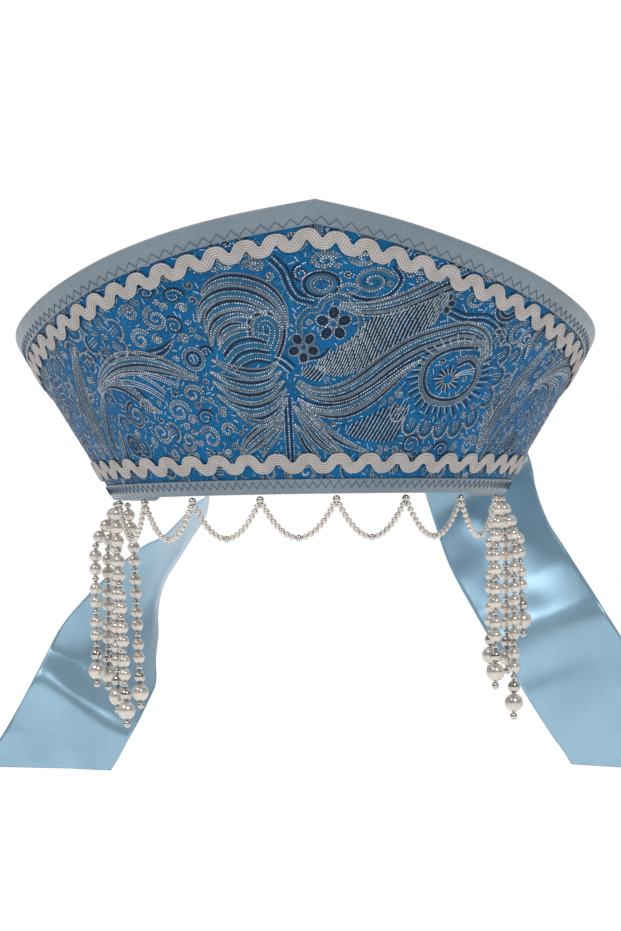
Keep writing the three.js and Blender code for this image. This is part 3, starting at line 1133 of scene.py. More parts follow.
@dataclass
class Rickrack:
    """The wavy braid sewn along each tape.

    Attributes:
        shape: The band's surface.
        wave, swing: The length of one wave, and how far it swings to each side.
        width, thickness, sides: Those of the braid's section.
        start, end: The angles of one crest and of each back end, in degrees.
        upper_drop: The upper braid's middle, under the upper edge.
        lower_height: The lower braid's middle, over the rim.
        steps: Points along each wave.
        fullness: How broad each crest is.
        stride: The step in which its line is measured, in degrees.
        turn: The angle whose height, with the front's, gives its mean one.
    """

    shape: BandShape
    wave: float = 13 * MM
    swing: float = 1.9 * MM
    width: float = 4.9 * MM
    thickness: float = 1.2 * MM
    start: float = 2.1
    end: float = 120.0
    upper_drop: float = 14.2 * MM
    lower_height: float = 13.8 * MM
    steps: int = 18
    fullness: float = 1.7
    sides: int = 12
    stride: float = 0.05
    turn: float = 75.0

    def middle_line(self, height_at: Heights) -> list[Vector]:
        """Draw the flat middle line of a braid, with waves of even length on the brocade.

        Args:
            height_at: The height that it swings about, by angle.

        Returns:
            The line's points.
        """
        proud = SEAT_GAP + self.thickness / 2
        spacing = self.wave / self.steps
        line = []
        for way in (-1, 1):
            walked = 0.0
            half = []
            angle = self.start
            here = self.shape.point(angle, height_at(angle))
            while abs(angle) < self.end:
                middle = height_at(angle)
                wave = math.cos(math.tau * walked / self.wave)
                offset = self.swing * math.tanh(self.fullness * wave) / math.tanh(self.fullness)
                half.append((walked, Vector((self.shape.along(angle), middle + offset, proud))))
                angle += way * self.stride
                ahead = self.shape.point(angle, height_at(angle))
                walked += (ahead - here).length
                here = ahead
            kept = [half[0][1]]
            due = spacing
            for distance, point in half:
                if distance >= due:
                    kept.append(point)
                    due += spacing
            line = kept[:0:-1] if way < 0 else line + kept
        return line

    def build_braid(self, shop: Workshop, node: str, height_at: Heights) -> None:
        """Build one braid.

        Args:
            shop: The trees and finishes.
            node: The solid that it stands for.
            height_at: The height that it swings about, by angle.
        """
        mean_height = (height_at(0) + height_at(self.turn)) / 2
        gauge = self.shape.half_depth + mean_height * self.shape.front_rise
        fitted = replace(self, shape=replace(self.shape, gauge=gauge))
        piece = new_piece(f"woven_{node}", line_mesh(node, [fitted.middle_line(height_at)]))
        shop.lay(piece, self.width, self.thickness, self.sides, Finish.BRAID, fitted.shape)
        shop.keep(piece, [node])

    def build(self, shop: Workshop) -> None:
        """Build the upper and the lower braid."""
        self.build_braid(shop, "top_rickrack", lambda angle: self.shape.upper_edge(angle) - self.upper_drop)
        self.build_braid(shop, "bottom_rickrack", lambda _angle: self.lower_height)


# The brocade's figures. Their lengths are millimetres, and their angles are degrees

SCROLL_GAP = 0.9
SCROLL_LEAST = 0.6
SCROLL_DEPTH = 0.86
SCROLL_STEPS = 2.2
EYE_LEAST = 0.5
BLOSSOM_HEART = 0.2
BLOSSOM_OUT = 0.6
ROUND_STEPS = 12
RIB_GAP = 1.2
LOBE_OPENING = 105.0
SHORT_RAY = 0.7
# The dark stitch beside each ray, a painted shadow, lies this share of a step ahead of it.
DARK_BESIDE = 0.4
DASH_SPACE = 0.06
DASH_LEAST = 0.3


class Thread(Enum):
    """A figured thread: its width, its thickness, its height over the ground and its finish."""

    FILL = (3.2 * MM, 0.04 * MM, 0.02 * MM, Finish.SATIN_FIGURE)
    # Navy thread: real dark lines and dashes, and painted shadow beside the raised threads.
    DARK = (0.85 * MM, 0.06 * MM, 0.05 * MM, Finish.SHADOW)
    CORD = (0.85 * MM, 0.16 * MM, 0.08 * MM, Finish.CORD)
    DOTS = (0.5 * MM, 0.16 * MM, 0.12 * MM, Finish.STITCH)
    LIGHT = (0.46 * MM, 0.16 * MM, 0.1 * MM, Finish.DASH)


class Spread(Enum):
    """How the strands of a bundle part along it: at the root, at the middle and at the tip."""

    EVEN = (1.0, 1.0, 1.0)
    LEAF = (0.15, 1.0, 0.15)
    PLUME = (0.3, 1.0, 0.55)
    FAN = (0.25, 0.75, 1.2)

    def at(self, share: float) -> float:
        """Return how far the strands have parted at a share of their length."""
        root, middle, tip = self.value
        if share < 0.5:
            return root + (middle - root) * math.sin(math.pi * share)
        return tip + (middle - tip) * math.sin(math.pi * share)


Spot = Pair
FILL, DARK, CORD, DOTS, LIGHT = Thread
EVEN, LEAF, PLUME, FAN = Spread


def on_oval(at: Spot, wide: float, high: float, turn: float) -> Spot:
    """Return the spot on an oval round a centre, at an angle in radians."""
    return (at[0] + wide * math.cos(turn), at[1] + high * math.sin(turn))


def set_out(at: Spot, way: Spot, along: float, aside: float) -> Spot:
    """Return the spot at a distance out in a direction, and a distance aside of it."""
    return (at[0] + way[0] * along - way[1] * aside, at[1] + way[1] * along + way[0] * aside)


@dataclass(frozen=True)
class Stroke:
    """One thread on the flat brocade, its points along and up the band."""

    thread: Thread
    points: tuple[Spot, ...]
    width: float = 1.0


def length_of(line: Sequence[Vector]) -> float:
    """Return the length of a line."""
    return sum((b - a).length for a, b in zip(line, line[1:]))


def smooth_run(spots: Sequence[Spot], pitch: float = 1.3, fewest: int = 6) -> list[Vector]:
    """Draw close points of the smooth line through a few spots.

    Args:
        spots: The spots.
        pitch: The distance between two points.
        fewest: The fewest steps that it has.

    Returns:
        The points.
    """
    line = [Vector((s, h, 0)) for s, h in spots]
    count = max(fewest, round(length_of(line) / pitch))
    return [eased_line(line, i / count) for i in range(count + 1)]


@dataclass(frozen=True)
class Sprig:
    """A bundle of strands along one line, such as a petal, a plume or a stem.

    Attributes:
        through: The spots that its middle runs through, from its root.
        strands: Its threads, from one side to the other.
        gap: The distance between two strands where they are widest apart.
        spread: How the strands part.
    """

    through: tuple[Spot, ...]
    strands: tuple[Thread, ...]
    gap: float = 1.1
    spread: Spread = LEAF

    def strokes(self) -> list[Stroke]:
        """Return its strands."""
        middle = smooth_run(self.through)
        last = len(middle) - 1
        found = []
        for place, thread in enumerate(self.strands):
            offset = (place - (len(self.strands) - 1) / 2) * self.gap
            points = []
            for i, point in enumerate(middle):
                way = (middle[min(i + 1, last)] - middle[max(i - 1, 0)]).normalized()
                aside = offset * self.spread.at(i / last)
                points.append((point.x - way.y * aside, point.y + way.x * aside))
            found.append(Stroke(thread, tuple(points)))
        return found


@dataclass(frozen=True)
class Scroll:
    """A spiral of threads side by side, by default a silver one with a navy line beside it as its painted
    shadow.

    Attributes:
        at: Its centre.
        size: Its half width and half height.
        turns: Its turns.
        start: The angle of its outer end.
        hand: 1 where it winds in to the left, and -1 to the right.
        threads: The threads that wind side by side.
    """

    at: Spot
    size: Spot
    turns: float = 1.8
    start: float = 0.0
    hand: float = 1.0
    threads: tuple[Thread, ...] = (DARK, DOTS)

    def strokes(self) -> list[Stroke]:
        """Return the winding threads."""
        found = []
        count = max(14, round(self.turns * sum(self.size) * SCROLL_STEPS))
        for place, thread in enumerate(self.threads):
            wide, high = (max(size - SCROLL_GAP * place, SCROLL_LEAST) for size in self.size)
            points = []
            for i in range(count + 1):
                share = i / count
                turn = math.radians(self.start) + self.hand * math.tau * self.turns * share
                reach = 1 - SCROLL_DEPTH * share
                points.append(on_oval(self.at, wide * reach, high * reach, turn))
            found.append(Stroke(thread, tuple(points)))
        return found


@dataclass(frozen=True)
class Eye:
    """Rings within rings.

    Attributes:
        at: Its centre.
        size: Its half width and half height.
        rings: The threads of its rings, from outside in.
        step: The distance between two rings.
    """

    at: Spot
    size: Spot
    rings: tuple[Thread, ...] = (DOTS, DARK, CORD, DARK, DOTS)
    step: float = 1.1

    def strokes(self) -> list[Stroke]:
        """Return the rings."""
        found = []
        for place, thread in enumerate(self.rings):
            wide = self.size[0] - place * self.step
            high = self.size[1] - place * self.step * self.size[1] / self.size[0]
            if wide < EYE_LEAST:
                break
            count = max(10, round(4 * (wide + high)))
            turns = [math.tau * i / count for i in range(count + 1)]
            found.append(Stroke(thread, tuple(on_oval(self.at, wide, high, turn) for turn in turns)))
        return found


@dataclass(frozen=True)
class Blossom:
    """A small flower of round petals.

    Attributes:
        at: Its centre.
        size: From its centre to a petal's tip.
        petals: How many petals it has.
        turn: The angle of its first petal.
        edge: The thread of its petals' edges.
    """

    at: Spot
    size: float
    petals: int = 5
    turn: float = 90.0
    edge: Thread = DOTS

    def strokes(self) -> list[Stroke]:
        """Return each petal's edge, its dark inside and the ring at the centre."""
        heart = self.size * BLOSSOM_HEART
        found = Eye(self.at, (heart, heart), (CORD,)).strokes()
        for petal in range(self.petals):
            angle = math.radians(self.turn + 360 * petal / self.petals)
            way = (math.cos(angle), math.sin(angle))
            for thread, reach, wide in ((self.edge, 0.36, 0.3), (DARK, 0.27, 0.2), (DARK, 0.14, 0.08)):
                ring = []
                for i in range(ROUND_STEPS + 1):
                    turn = math.tau * i / ROUND_STEPS
                    along = self.size * (BLOSSOM_OUT + reach * math.cos(turn))
                    ring.append(set_out(self.at, way, along, self.size * wide * math.sin(turn)))
                found.append(Stroke(thread, tuple(ring), 0.8))
        return found


@dataclass(frozen=True)
class Lobe:
    """A rounded, ribbed petal that opens to one side.

    Attributes:
        at: The middle of its open side.
        size: Its reach out from there.
        turn: The way that it points.
        ribs: How many ribs fill it.
    """

    at: Spot
    size: float
    turn: float
    ribs: int = 3

    def strokes(self) -> list[Stroke]:
        """Return its edge in three threads, and its ribs."""
        way = (math.cos(math.radians(self.turn)), math.sin(math.radians(self.turn)))
        steps = range(ROUND_STEPS + 1)
        turns = [math.radians(-LOBE_OPENING + 2 * LOBE_OPENING * i / ROUND_STEPS) for i in steps]
        found = []
        for thread, inset in ((DOTS, 0.0), (CORD, 0.8), (DARK, 1.6)):
            reach = self.size - inset
            edge = []
            for turn in turns:
                along = self.size * 0.35 + reach * 0.62 * math.cos(turn)
                edge.append(set_out(self.at, way, along, reach * 0.6 * math.sin(turn)))
            found.append(Stroke(thread, tuple(edge)))
        for rib in range(self.ribs):
            aside = (rib - (self.ribs - 1) / 2) * RIB_GAP
            far = self.size * 0.66 - abs(aside) * 0.6
            line = tuple(set_out(self.at, way, far * k / 3, aside) for k in range(4))
            found.append(Stroke(CORD if rib % 2 else DOTS, line, 0.9))
        return found


@dataclass(frozen=True)
class Rays:
    """Short stitches that stand out all round an oval.

    Attributes:
        at: The oval's centre.
        size: The oval's half width and half height.
        reach: How far the stitches reach, as a share of the oval.
        count: How many stitches go round.
        start: The angle of the first one.
        sweep: The angle from the first to the last.
        slant: How far each stitch leans.
    """

    at: Spot
    size: Spot
    reach: float = 1.4
    count: int = 36
    start: float = 0.0
    sweep: float = 360.0
    slant: float = 0.0

    def strokes(self) -> list[Stroke]:
        """Return the stitches, each with a dark stitch beside it as its painted shadow."""
        found = []
        wide, high = self.size
        for i in range(self.count):
            far = self.reach if i % 2 else 1 + (self.reach - 1) * SHORT_RAY
            for thread, ahead, width in ((DARK, DARK_BESIDE, 0.7), (LIGHT, 0.0, 1.7)):
                turn = math.radians(self.start + self.sweep * (i + ahead) / self.count)
                x, y = on_oval(self.at, wide, high, turn)
                tip = on_oval(self.at, wide * far, high * far, turn + math.radians(self.slant))
                points = [(x + (tip[0] - x) * k / 3, y + (tip[1] - y) * k / 3) for k in range(4)]
                found.append(Stroke(thread, tuple(points), width))
        return found


@dataclass(frozen=True)
class Hatch:
    """Slanted dashes in staggered columns, light beside dark, that fill a patch.

    Attributes:
        first: Spots along one long side of the patch.
        second: Spots along the other side, in the same order.
        dash: The length of a dash.
        pitch: The distance between two light dashes.
        slant: How far a dash leans ahead for each millimetre of its length.
    """

    first: tuple[Spot, ...]
    second: tuple[Spot, ...]
    dash: float = 3.4
    pitch: float = 1.7
    slant: float = 0.8

    def strokes(self) -> list[Stroke]:
        """Return the dashes."""
        low, high = smooth_run(self.first), smooth_run(self.second)
        length = (length_of(low) + length_of(high)) / 2
        found = []
        columns = max(2, round(length / self.pitch * 2))
        for column in range(columns):
            thread = DARK if column % 2 else LIGHT
            place = (column + 0.5) / columns
            height = (self.side(high, place) - self.side(low, place)).length
            rows = max(1, round(height / self.dash))
            stagger = 0.5 * (column // 2 % 2)
            for row in range(rows + 1):
                near = max(0.0, (row - stagger + DASH_SPACE) / rows)
                far = min(1.0, (row - stagger + (1 - DASH_SPACE)) / rows)
                if far - near < DASH_LEAST / rows:
                    continue
                lean = self.slant * height / length
                ends = [self.between(low, high, place + lean * (share - 0.5), share) for share in (near, far)]
                points = [tuple(ends[0].lerp(ends[1], k / 2))[:2] for k in range(3)]
                found.append(Stroke(thread, tuple(points)))
        return found

    @staticmethod
    def side(line: Sequence[Vector], share: float) -> Vector:
        """Return the spot at a share along one side."""
        place = min(max(share, 0.0), 1.0) * (len(line) - 1)
        i = min(int(place), len(line) - 2)
        return line[i].lerp(line[i + 1], place - i)

    def between(self, low: Sequence[Vector], high: Sequence[Vector], share: float, across: float) -> Vector:
        """Return the spot at a share along both sides and a share of the way across."""
        return self.side(low, share).lerp(self.side(high, share), across)


PETAL = (CORD, DARK, DOTS, FILL, DOTS, CORD)
VEINS = (DOTS, FILL, DOTS, DARK)
ROPE = (DOTS, DARK, CORD, CORD, DOTS)
LINE = (DOTS, DARK)
COIL = (DOTS, CORD, DOTS)
BROAD = (
    DOTS, DARK, CORD, CORD, DARK, DOTS,
    FILL, DOTS, CORD, DARK, CORD, DOTS,
)

BLOOM = (
    Sprig(((-3, 70), (-5, 79), (-10, 85.5), (-17, 89), (-25, 90), (-32, 87.5), (-35.5, 83.5)), PETAL, 1.0),
    Sprig(((-5, 69), (-8, 77), (-14, 82), (-22, 84.5), (-30, 83.5), (-36.5, 79), (-39, 73)), PETAL, 1.0),
    Sprig(((-11, 75.5), (-18, 79), (-26, 79.5), (-33.5, 76), (-37, 68.5)), PETAL, 1.0),
    Sprig(((-16, 74), (-22, 75.8), (-29, 74), (-34, 69.5), (-35.5, 63)), PETAL, 0.9),
    Sprig(((-18, 70.5), (-24, 71), (-29.5, 68.5), (-32.5, 63)), PETAL, 0.8),
    Sprig(
        ((-18.5, 67), (-18, 73), (-12.5, 76), (-7, 74), (-4.5, 69), (-6, 62), (-8.5, 57)),
        (CORD, DARK, DOTS), 0.9, EVEN,
    ),
    Sprig(
        ((-15, 67), (-14.5, 71.5), (-11.5, 73), (-8.5, 70.5), (-9, 65), (-11, 61)),
        (DOTS, FILL, DOTS, FILL, DOTS), 1.0, EVEN,
    ),
    Sprig(((-11, 65), (-18, 67), (-26, 65.5), (-32, 60)), VEINS, 1.1, EVEN),
    Sprig(((-11, 61), (-18, 62.3), (-25, 60.5), (-30, 56)), VEINS, 1.1, EVEN),
    Sprig(((-11, 57), (-17, 58), (-23, 56.3), (-28, 52.5)), VEINS, 1.1, EVEN),
    Sprig(((-8, 56), (-13, 52), (-20, 51), (-28, 53), (-37, 57.5)), PETAL, 0.9),
    Sprig(((-7, 52), (-13, 47.5), (-21, 46), (-30, 48), (-38.5, 52.5)), PETAL, 1.0),
    Sprig(((-6, 48), (-13, 43), (-22, 41), (-31, 43.5), (-38.5, 48.5)), PETAL, 1.0),
    Sprig(((-5, 44.5), (-12, 38.5), (-21, 36), (-30, 38), (-38, 43)), PETAL, 1.0),
    Sprig(((-5, 41), (-10, 35), (-17, 31.5), (-24, 32.5), (-30, 35.5)), PETAL, 1.0),
    Sprig(((-9.5, 57.5), (-6, 56), (-2, 52.5)), (LIGHT, DARK, LIGHT, DARK), 1.3, EVEN),
    Scroll((-39, 60.5), (3.2, 3), 1.3, 0, 1),
)
GARLAND = (
    Sprig(
        ((0, 47), (6, 43.2), (14, 42), (22, 43.5), (31, 48.5), (40, 55.5), (50, 62), (61, 66),
         (73, 68.5), (83, 65), (88, 57)),
        BROAD, 0.85, PLUME,
    ),
    Sprig(
        ((0, 40.5), (7, 36.5), (15, 35), (24, 36), (32, 39.5), (41, 46), (48, 52), (55, 56.5)),
        (*ROPE, *VEINS), 0.85,
    ),
    Hatch(
        ((8, 53), (16, 49.5), (25, 51), (34, 56.5), (44, 63.5), (54, 69.5), (60, 72)),
        ((9, 56), (15, 60), (22, 65), (29, 72.5), (38, 76), (50, 80), (60, 84)),
    ),
    Hatch(((2, 50), (7, 48), (13, 47)), ((3, 54), (7, 54.5), (12, 53.5)), 2.2, 1.6),
    Sprig(((17, 78.5), (27, 77), (37, 78.5), (47, 82.5), (57, 88), (66, 93)), BROAD, 0.9, FAN),
    Sprig(((62, 76), (70, 73.5), (80, 73.5), (88, 70), (95, 64)), (*LINE, *LINE), 1.2, EVEN),
)
TEARDROP = (
    Sprig(
        ((86, 55), (84.5, 62), (77, 62.5), (66, 61), (58.5, 56), (57.5, 48), (62, 41.5), (71, 39),
         (80, 40.5), (85.5, 46), (85, 53), (79, 57), (73, 55)),
        (DOTS, CORD, CORD, DARK, DOTS), 0.9, EVEN,
    ),
    Rays((70.5, 48.5), (2.4, 1.9), 3.0, 15, 0, 360, 12),
    Sprig(((74, 50), (79, 51.5), (84, 52)), (LIGHT, LIGHT, LIGHT), 1.1, FAN),
    Rays((72, 50), (16.5, 13), 1.34, 34, 0, 360, 3),
    Lobe((51, 37), 7.5, 225),
    Lobe((58, 32), 7.5, 250),
    Lobe((66.5, 31), 7.5, 265),
    Lobe((75, 30.5), 7.5, 272),
    Lobe((83.5, 31), 7.5, 285),
    Lobe((91, 34.5), 7.5, 310),
    Lobe((95, 42), 7.5, 345),
    Lobe((96, 50), 7.5, 5),
    Lobe((94, 58), 7.5, 30),
    Lobe((88.5, 64), 7.0, 55),
    Lobe((103, 47), 7.0, 20),
    Lobe((100, 35), 7.0, 330),
    Lobe((102, 58), 7.0, 30),
)
ROUNDELS = (
    Eye((10, 87), (7.4, 5.6), (DOTS, DARK, FILL, CORD, DOTS)),
    Scroll((11, 96.5), (6, 4.4), 1.7, 20, 1, COIL),
    Scroll((25, 97.5), (6, 4), 1.5, 120, 1, COIL),
    Scroll((29, 88), (8.2, 6.2), 1.7, 20, 1, (DOTS, CORD, FILL)),
    Sprig(
        ((19, 84), (24, 81.3), (31, 80.8), (37, 83.5), (39.5, 89), (36, 94)),
        (DOTS, DARK, DOTS), 1.0, EVEN,
    ),
    Sprig(((16, 85.5), (20, 87), (24, 85.5), (21, 83), (17, 83.5)), (CORD, DOTS), 0.9, EVEN),
    Scroll((2.5, 91.5), (3.6, 4.0), 1.4, 90, 1),
    Scroll((-14, 95), (4.6, 3.5), 1.6, 200, -1, COIL),
    Scroll((-24, 96), (4.8, 3.6), 1.5, 0, 1, COIL),
    Sprig(((-8, 98), (-4, 93), (-2, 87), (1, 82), (7, 80)), (*LINE, *LINE), 1.2, EVEN),
    Sprig(
        ((1.5, 67), (1.5, 72.5), (5, 76.5), (9, 77), (10.5, 80), (14.5, 82.3), (19, 81), (21.5, 77),
         (25.5, 74), (26, 68), (23, 63), (17.5, 60.5)),
        (CORD, FILL, DOTS), 1.1, EVEN,
    ),
    Blossom((15, 71), 7.6),
    Blossom((3, 61.5), 7.0, 5, 54, CORD),
    Sprig(((1, 55.5), (6, 56.5), (11, 57.5), (14, 61)), LINE, 1.0, EVEN),
)
FOOT = (
    Sprig(((-5, 41), (-5, 28), (-5, 12)), (DOTS, DARK, DOTS, DARK, DOTS), 1.1, EVEN),
    Sprig(((-7, 34.5), (-13, 29.5), (-21, 25), (-28, 20.5), (-32, 16.5)), BROAD, 0.7),
    Sprig(((-7, 30), (-12, 26), (-17, 21.5), (-20, 16.5)), PETAL, 0.9),
    Sprig(((-2, 37.5), (4, 31), (10, 25), (17, 20), (25, 16.5)), BROAD, 0.65),
    Sprig(((1, 38.5), (8, 32), (16, 26), (25, 21.5), (37, 18)), ROPE, 0.9),
    Sprig(((-2, 30), (2, 24.5), (6, 19.5), (11, 15.5)), PETAL, 0.9),
    Hatch(
        ((24, 25.5), (34, 23), (44, 22), (54, 24)),
        ((25, 29.5), (35, 33.5), (45, 37.5), (54, 38)),
        2.6, 2.2, 0.5,
    ),
)
BOUGH = (
    Sprig(((-106, 47), (-97, 53), (-86, 57), (-75, 58), (-64, 56.5), (-54, 53), (-45, 49.5)), BROAD, 0.85),
    Sprig(((-106, 46), (-97, 49.5), (-89, 49), (-82, 45), (-76, 39), (-70, 36.5)), (*ROPE, *LINE), 1.0),
    Sprig(
        ((-100, 49), (-88, 53), (-76, 53.5), (-65, 51), (-56, 47)),
        (DOTS, LIGHT, DOTS), 1.0, EVEN,
    ),
    Sprig(((-90, 50), (-80, 49), (-72, 46), (-66, 42)), (LIGHT, DOTS, LIGHT), 1.1, EVEN),
    Sprig(((-76, 53), (-69, 49), (-64, 44.5)), (LIGHT, LIGHT), 1.1, EVEN),
    Scroll((-57, 75), (6.4, 5.6), 1.6, 100, 1, COIL),
    Scroll((-67.5, 67), (5.6, 5), 1.4, 30, 1, COIL),
    Eye((-45, 58), (5.2, 4.8), (DOTS, CORD, DARK, DOTS)),
    Scroll((-60, 36.5), (6.8, 5.6), 1.5, 0, 1, COIL),
    Scroll((-50, 43.5), (6, 4.6), 1.2, 0, 1, COIL),
    Scroll((-75, 28), (6.4, 5.6), 1.5, 40, -1, COIL),
    Scroll((-87, 35.5), (7, 6.6), 1.6, 90, 1, (DOTS, DARK, CORD)),
    Scroll((-46.5, 25), (6.2, 5.6), 1.5, 160, -1, COIL),
    Scroll((-46.5, 33.5), (5, 3.8), 1.3, 20, 1),
    Scroll((-60, 24), (5.2, 5), 1.4, 200, 1, COIL),
    Lobe((-86, 72), 8.0, 90),
    Lobe((-82, 70), 8.0, 30),
    Lobe((-83, 66), 8.0, 325),
    Lobe((-88, 65), 8.0, 265),
    Lobe((-92, 68), 8.0, 205),
    Lobe((-91, 73), 8.0, 145),
    Lobe((-70, 27), 7.0, 20),
    Lobe((-79, 36), 7.0, 70),
    Lobe((-97, 30), 7.0, 110),
    Lobe((-93, 24), 7.0, 300),
    Lobe((-101, 40), 7.0, 90),
    Eye((-99, 23), (4.8, 5.2)),
    Sprig(((-74, 62), (-66, 60.5), (-58, 62), (-52, 66)), (*LINE, *LINE), 1.1),
    Scroll((-47, 84), (5, 3.8), 1.4, 0, 1),
    Scroll((-58, 86), (4.6, 3.4), 1.4, 180, -1),
    Scroll((-100, 61), (5, 4.6), 1.4, 0, 1),
    Scroll((-50, 72), (4.4, 4), 1.4, 120, -1),
)
FEATHER = (
    Sprig(((108, 12), (109, 26), (113, 40), (120, 54), (128, 66)), BROAD, 0.75),
    Sprig(((113, 12), (117, 24), (124, 36), (132, 46)), PETAL, 1.0),
    Sprig(((106, 20), (104, 32), (106, 44), (110, 54)), PETAL, 1.0),
    Sprig(((120, 10), (126, 20), (131, 30)), PETAL, 1.0),
    Sprig(((112, 58), (112, 66), (117, 74), (125, 80)), (*ROPE, *LINE), 0.9),
    Lobe((124, 62), 7.5, 60),
    Lobe((130, 58), 7.5, 20),
    Scroll((121, 45), (5, 4.6), 1.5, 0, 1, COIL),
    Scroll((107, 66), (5, 5), 1.5, 90, 1, COIL),
)
MARGIN = (
    Eye((90, 78), (6.8, 5.6)),
    Scroll((73, 81), (6.2, 4.8), 1.6, 0, 1, COIL),
    Scroll((101, 68), (6.4, 6), 1.5, 60, 1, COIL),
    Scroll((60, 93), (5, 3.4), 1.4, 0, 1),
    Scroll((46, 93), (5, 3.6), 1.5, 180, -1, COIL),
    Blossom((59, 79.5), 5.0, 6, 0, CORD),
    Scroll((60, 21), (5.5, 4.6), 1.5, 0, 1),
    Scroll((80, 19), (5.2, 4), 1.5, 180, -1),
    Scroll((98, 21), (5.6, 5), 1.6, 0, 1, COIL),
)
BELOW_BAND = (0.0, -1.0)
LINE_CHOICES = ((DOTS, DARK), (DOTS, CORD), (CORD, DARK))


@dataclass
class Brocade:
    """The figured threads of the brocade, one repeat after another round the band.

    Attributes:
        shape: The band's surface.
        repeat: The length of a repeat.
        low, margin: The lowest point that a figure reaches, and how far they keep under the upper edge.
        end_margin: The angle that they keep from the band's ends.
        filler_sizes, filler_heights: The reach and the heights of small figures in the free ground.
        tries, seed: The places that are tried for each of their sizes, and the seed of those.
        cell: The side of the squares that tell which spots are taken.
        clear, claim: How far they keep from a thread, and what share of their reach from each other.
        dash_below, lobe_above, coil_above: The reach of dashes, of lobes and of broad scrolls.
        tip, taper: The width of a thread's ends, as a share, and how softly it narrows to them.
    """

    shape: BandShape
    repeat: float = 236.0
    low: float = 4.5
    margin: float = 7.0
    end_margin: float = 1.5
    filler_sizes: tuple[float, ...] = (6.2, 5.0, 4.0, 3.0, 2.2, 1.6, 1.1, 0.8)
    filler_heights: Pair = (8, 112)
    tries: int = 2600
    seed: int = 19
    cell: int = 6
    clear: float = 0.3
    claim: float = 0.84
    dash_below: float = 1.5
    lobe_above: float = 3.5
    coil_above: float = 2.5
    tip: float = 0.35
    taper: float = 0.4

    def figures(self) -> list[Stroke]:
        """Return the strokes of one repeat, with small figures in the ground that they leave."""
        found: list[Stroke] = []
        for group in (BLOOM, GARLAND, TEARDROP, ROUNDELS, FOOT, BOUGH, FEATHER, MARGIN):
            for figure in group:
                found.extend(figure.strokes())
        return found + self.fillers(found)

    def fillers(self, strokes: Sequence[Stroke]) -> list[Stroke]:
        """Draw small figures in the free ground.

        Args:
            strokes: The threads that they keep clear of.

        Returns:
            The threads of the small figures.
        """
        chance = random.Random(self.seed)
        columns = math.ceil(self.repeat / self.cell)
        taken: dict[tuple[int, int], list[tuple[float, float, float]]] = {}

        def claim(s: float, h: float, reach: float) -> None:
            """Mark a round spot as taken."""
            key = (int(s % self.repeat // self.cell), int(h // self.cell))
            taken.setdefault(key, []).append((s % self.repeat, h, reach))

        def is_free(s: float, h: float, reach: float) -> bool:
            """Tell whether a round spot is clear of all that is taken."""
            column, row = int(s // self.cell), int(h // self.cell)
            for i in range(column - 2, column + 3):
                for j in range(row - 2, row + 3):
                    for x, y, other in taken.get((i % columns, j), ()):
                        gap = abs(x - s)
                        if math.hypot(min(gap, self.repeat - gap), y - h) < reach + other:
                            return False
            return True

        for stroke in strokes:
            for s, h in stroke.points:
                claim(s, h, self.clear)
        found = []
        for size in self.filler_sizes:
            for _ in range(self.tries):
                s, h = chance.uniform(0, self.repeat), chance.uniform(*self.filler_heights)
                if is_free(s, h, size):
                    claim(s, h, size * self.claim)
                    found.extend(self.filler(chance, (s, h), size))
        return found

    def filler(self, chance: random.Random, at: Spot, size: float) -> list[Stroke]:
        """Draw one small figure: a dash, a lobe or a scroll.

        Args:
            chance: The source of its chances.
            at: Its middle.
            size: Its reach.

        Returns:
            Its threads.
        """
        if size < self.dash_below:
            turn = chance.uniform(0, math.pi)
            steps = [size * k / 2 for k in range(-2, 3)]
            return [Stroke(LIGHT, tuple(on_oval(at, step, step, turn) for step in steps), 0.9)]
        turns, start = chance.uniform(1.1, 1.6), chance.uniform(0, 360)
        hand = chance.choice((-1.0, 1.0))
        if size > self.lobe_above and chance.random() < 0.5:
            return Lobe(at, size * 1.25, start).strokes()
        threads = COIL if size > self.coil_above else chance.choice(LINE_CHOICES)
        oval = (size * 0.98, size * chance.uniform(0.75, 0.95))
        return Scroll(at, oval, turns, start, hand, threads).strokes()

    def fits(self, spot: Spot) -> bool:
        """Tell whether a spot lies on the brocade that shows."""
        angle = self.shape.angle(spot[0] * MM)
        if abs(angle) > self.shape.end - self.end_margin:
            return False
        return self.low < spot[1] < self.shape.upper_edge(angle) / MM - self.margin

    def widths(self, stroke: Stroke, last: int) -> list[float]:
        """Return the widths of a thread at its points, narrow at both ends."""
        swells = [max(math.sin(math.pi * i / last), 0.0) ** self.taper for i in range(last + 1)]
        return [stroke.width * (self.tip + (1 - self.tip) * swell) for swell in swells]

    def lines(self, strokes: Sequence[Stroke], proud: float) -> tuple[list[list[Vector]], list[list[float]]]:
        """Lay threads out in every repeat, and leave out what the band doesn't show.

        Args:
            strokes: The threads of one repeat.
            proud: How far their middles stand over the ground.

        Returns:
            The flat lines, and the widths at their points.
        """
        lines, widths = [], []
        for stroke in strokes:
            for shift in (-2 * self.repeat, -self.repeat, 0.0, self.repeat):
                run: list[Vector] = []
                for spot in (*((s + shift, h) for s, h in stroke.points), BELOW_BAND):
                    if self.fits(spot):
                        run.append(Vector((spot[0] * MM, spot[1] * MM, proud)))
                        continue
                    if len(run) > 2:
                        lines.append(run)
                        widths.append(self.widths(stroke, len(run) - 1))
                    run = []
        return lines, widths

    def build(self, shop: Workshop) -> None:
        """Build one piece for each kind of thread.

        Args:
            shop: The trees and finishes.
        """
        figures = self.figures()
        for thread in Thread:
            width, thickness, proud, finish = thread.value
            lines, widths = self.lines([stroke for stroke in figures if stroke.thread is thread], proud)
            name = f"brocade_{thread.name.lower()}"
            piece = new_piece(name, line_mesh(name, lines, widths))
            shop.lay(piece, width, thickness, 4, finish, self.shape)
            shop.keep(piece)


# Beads


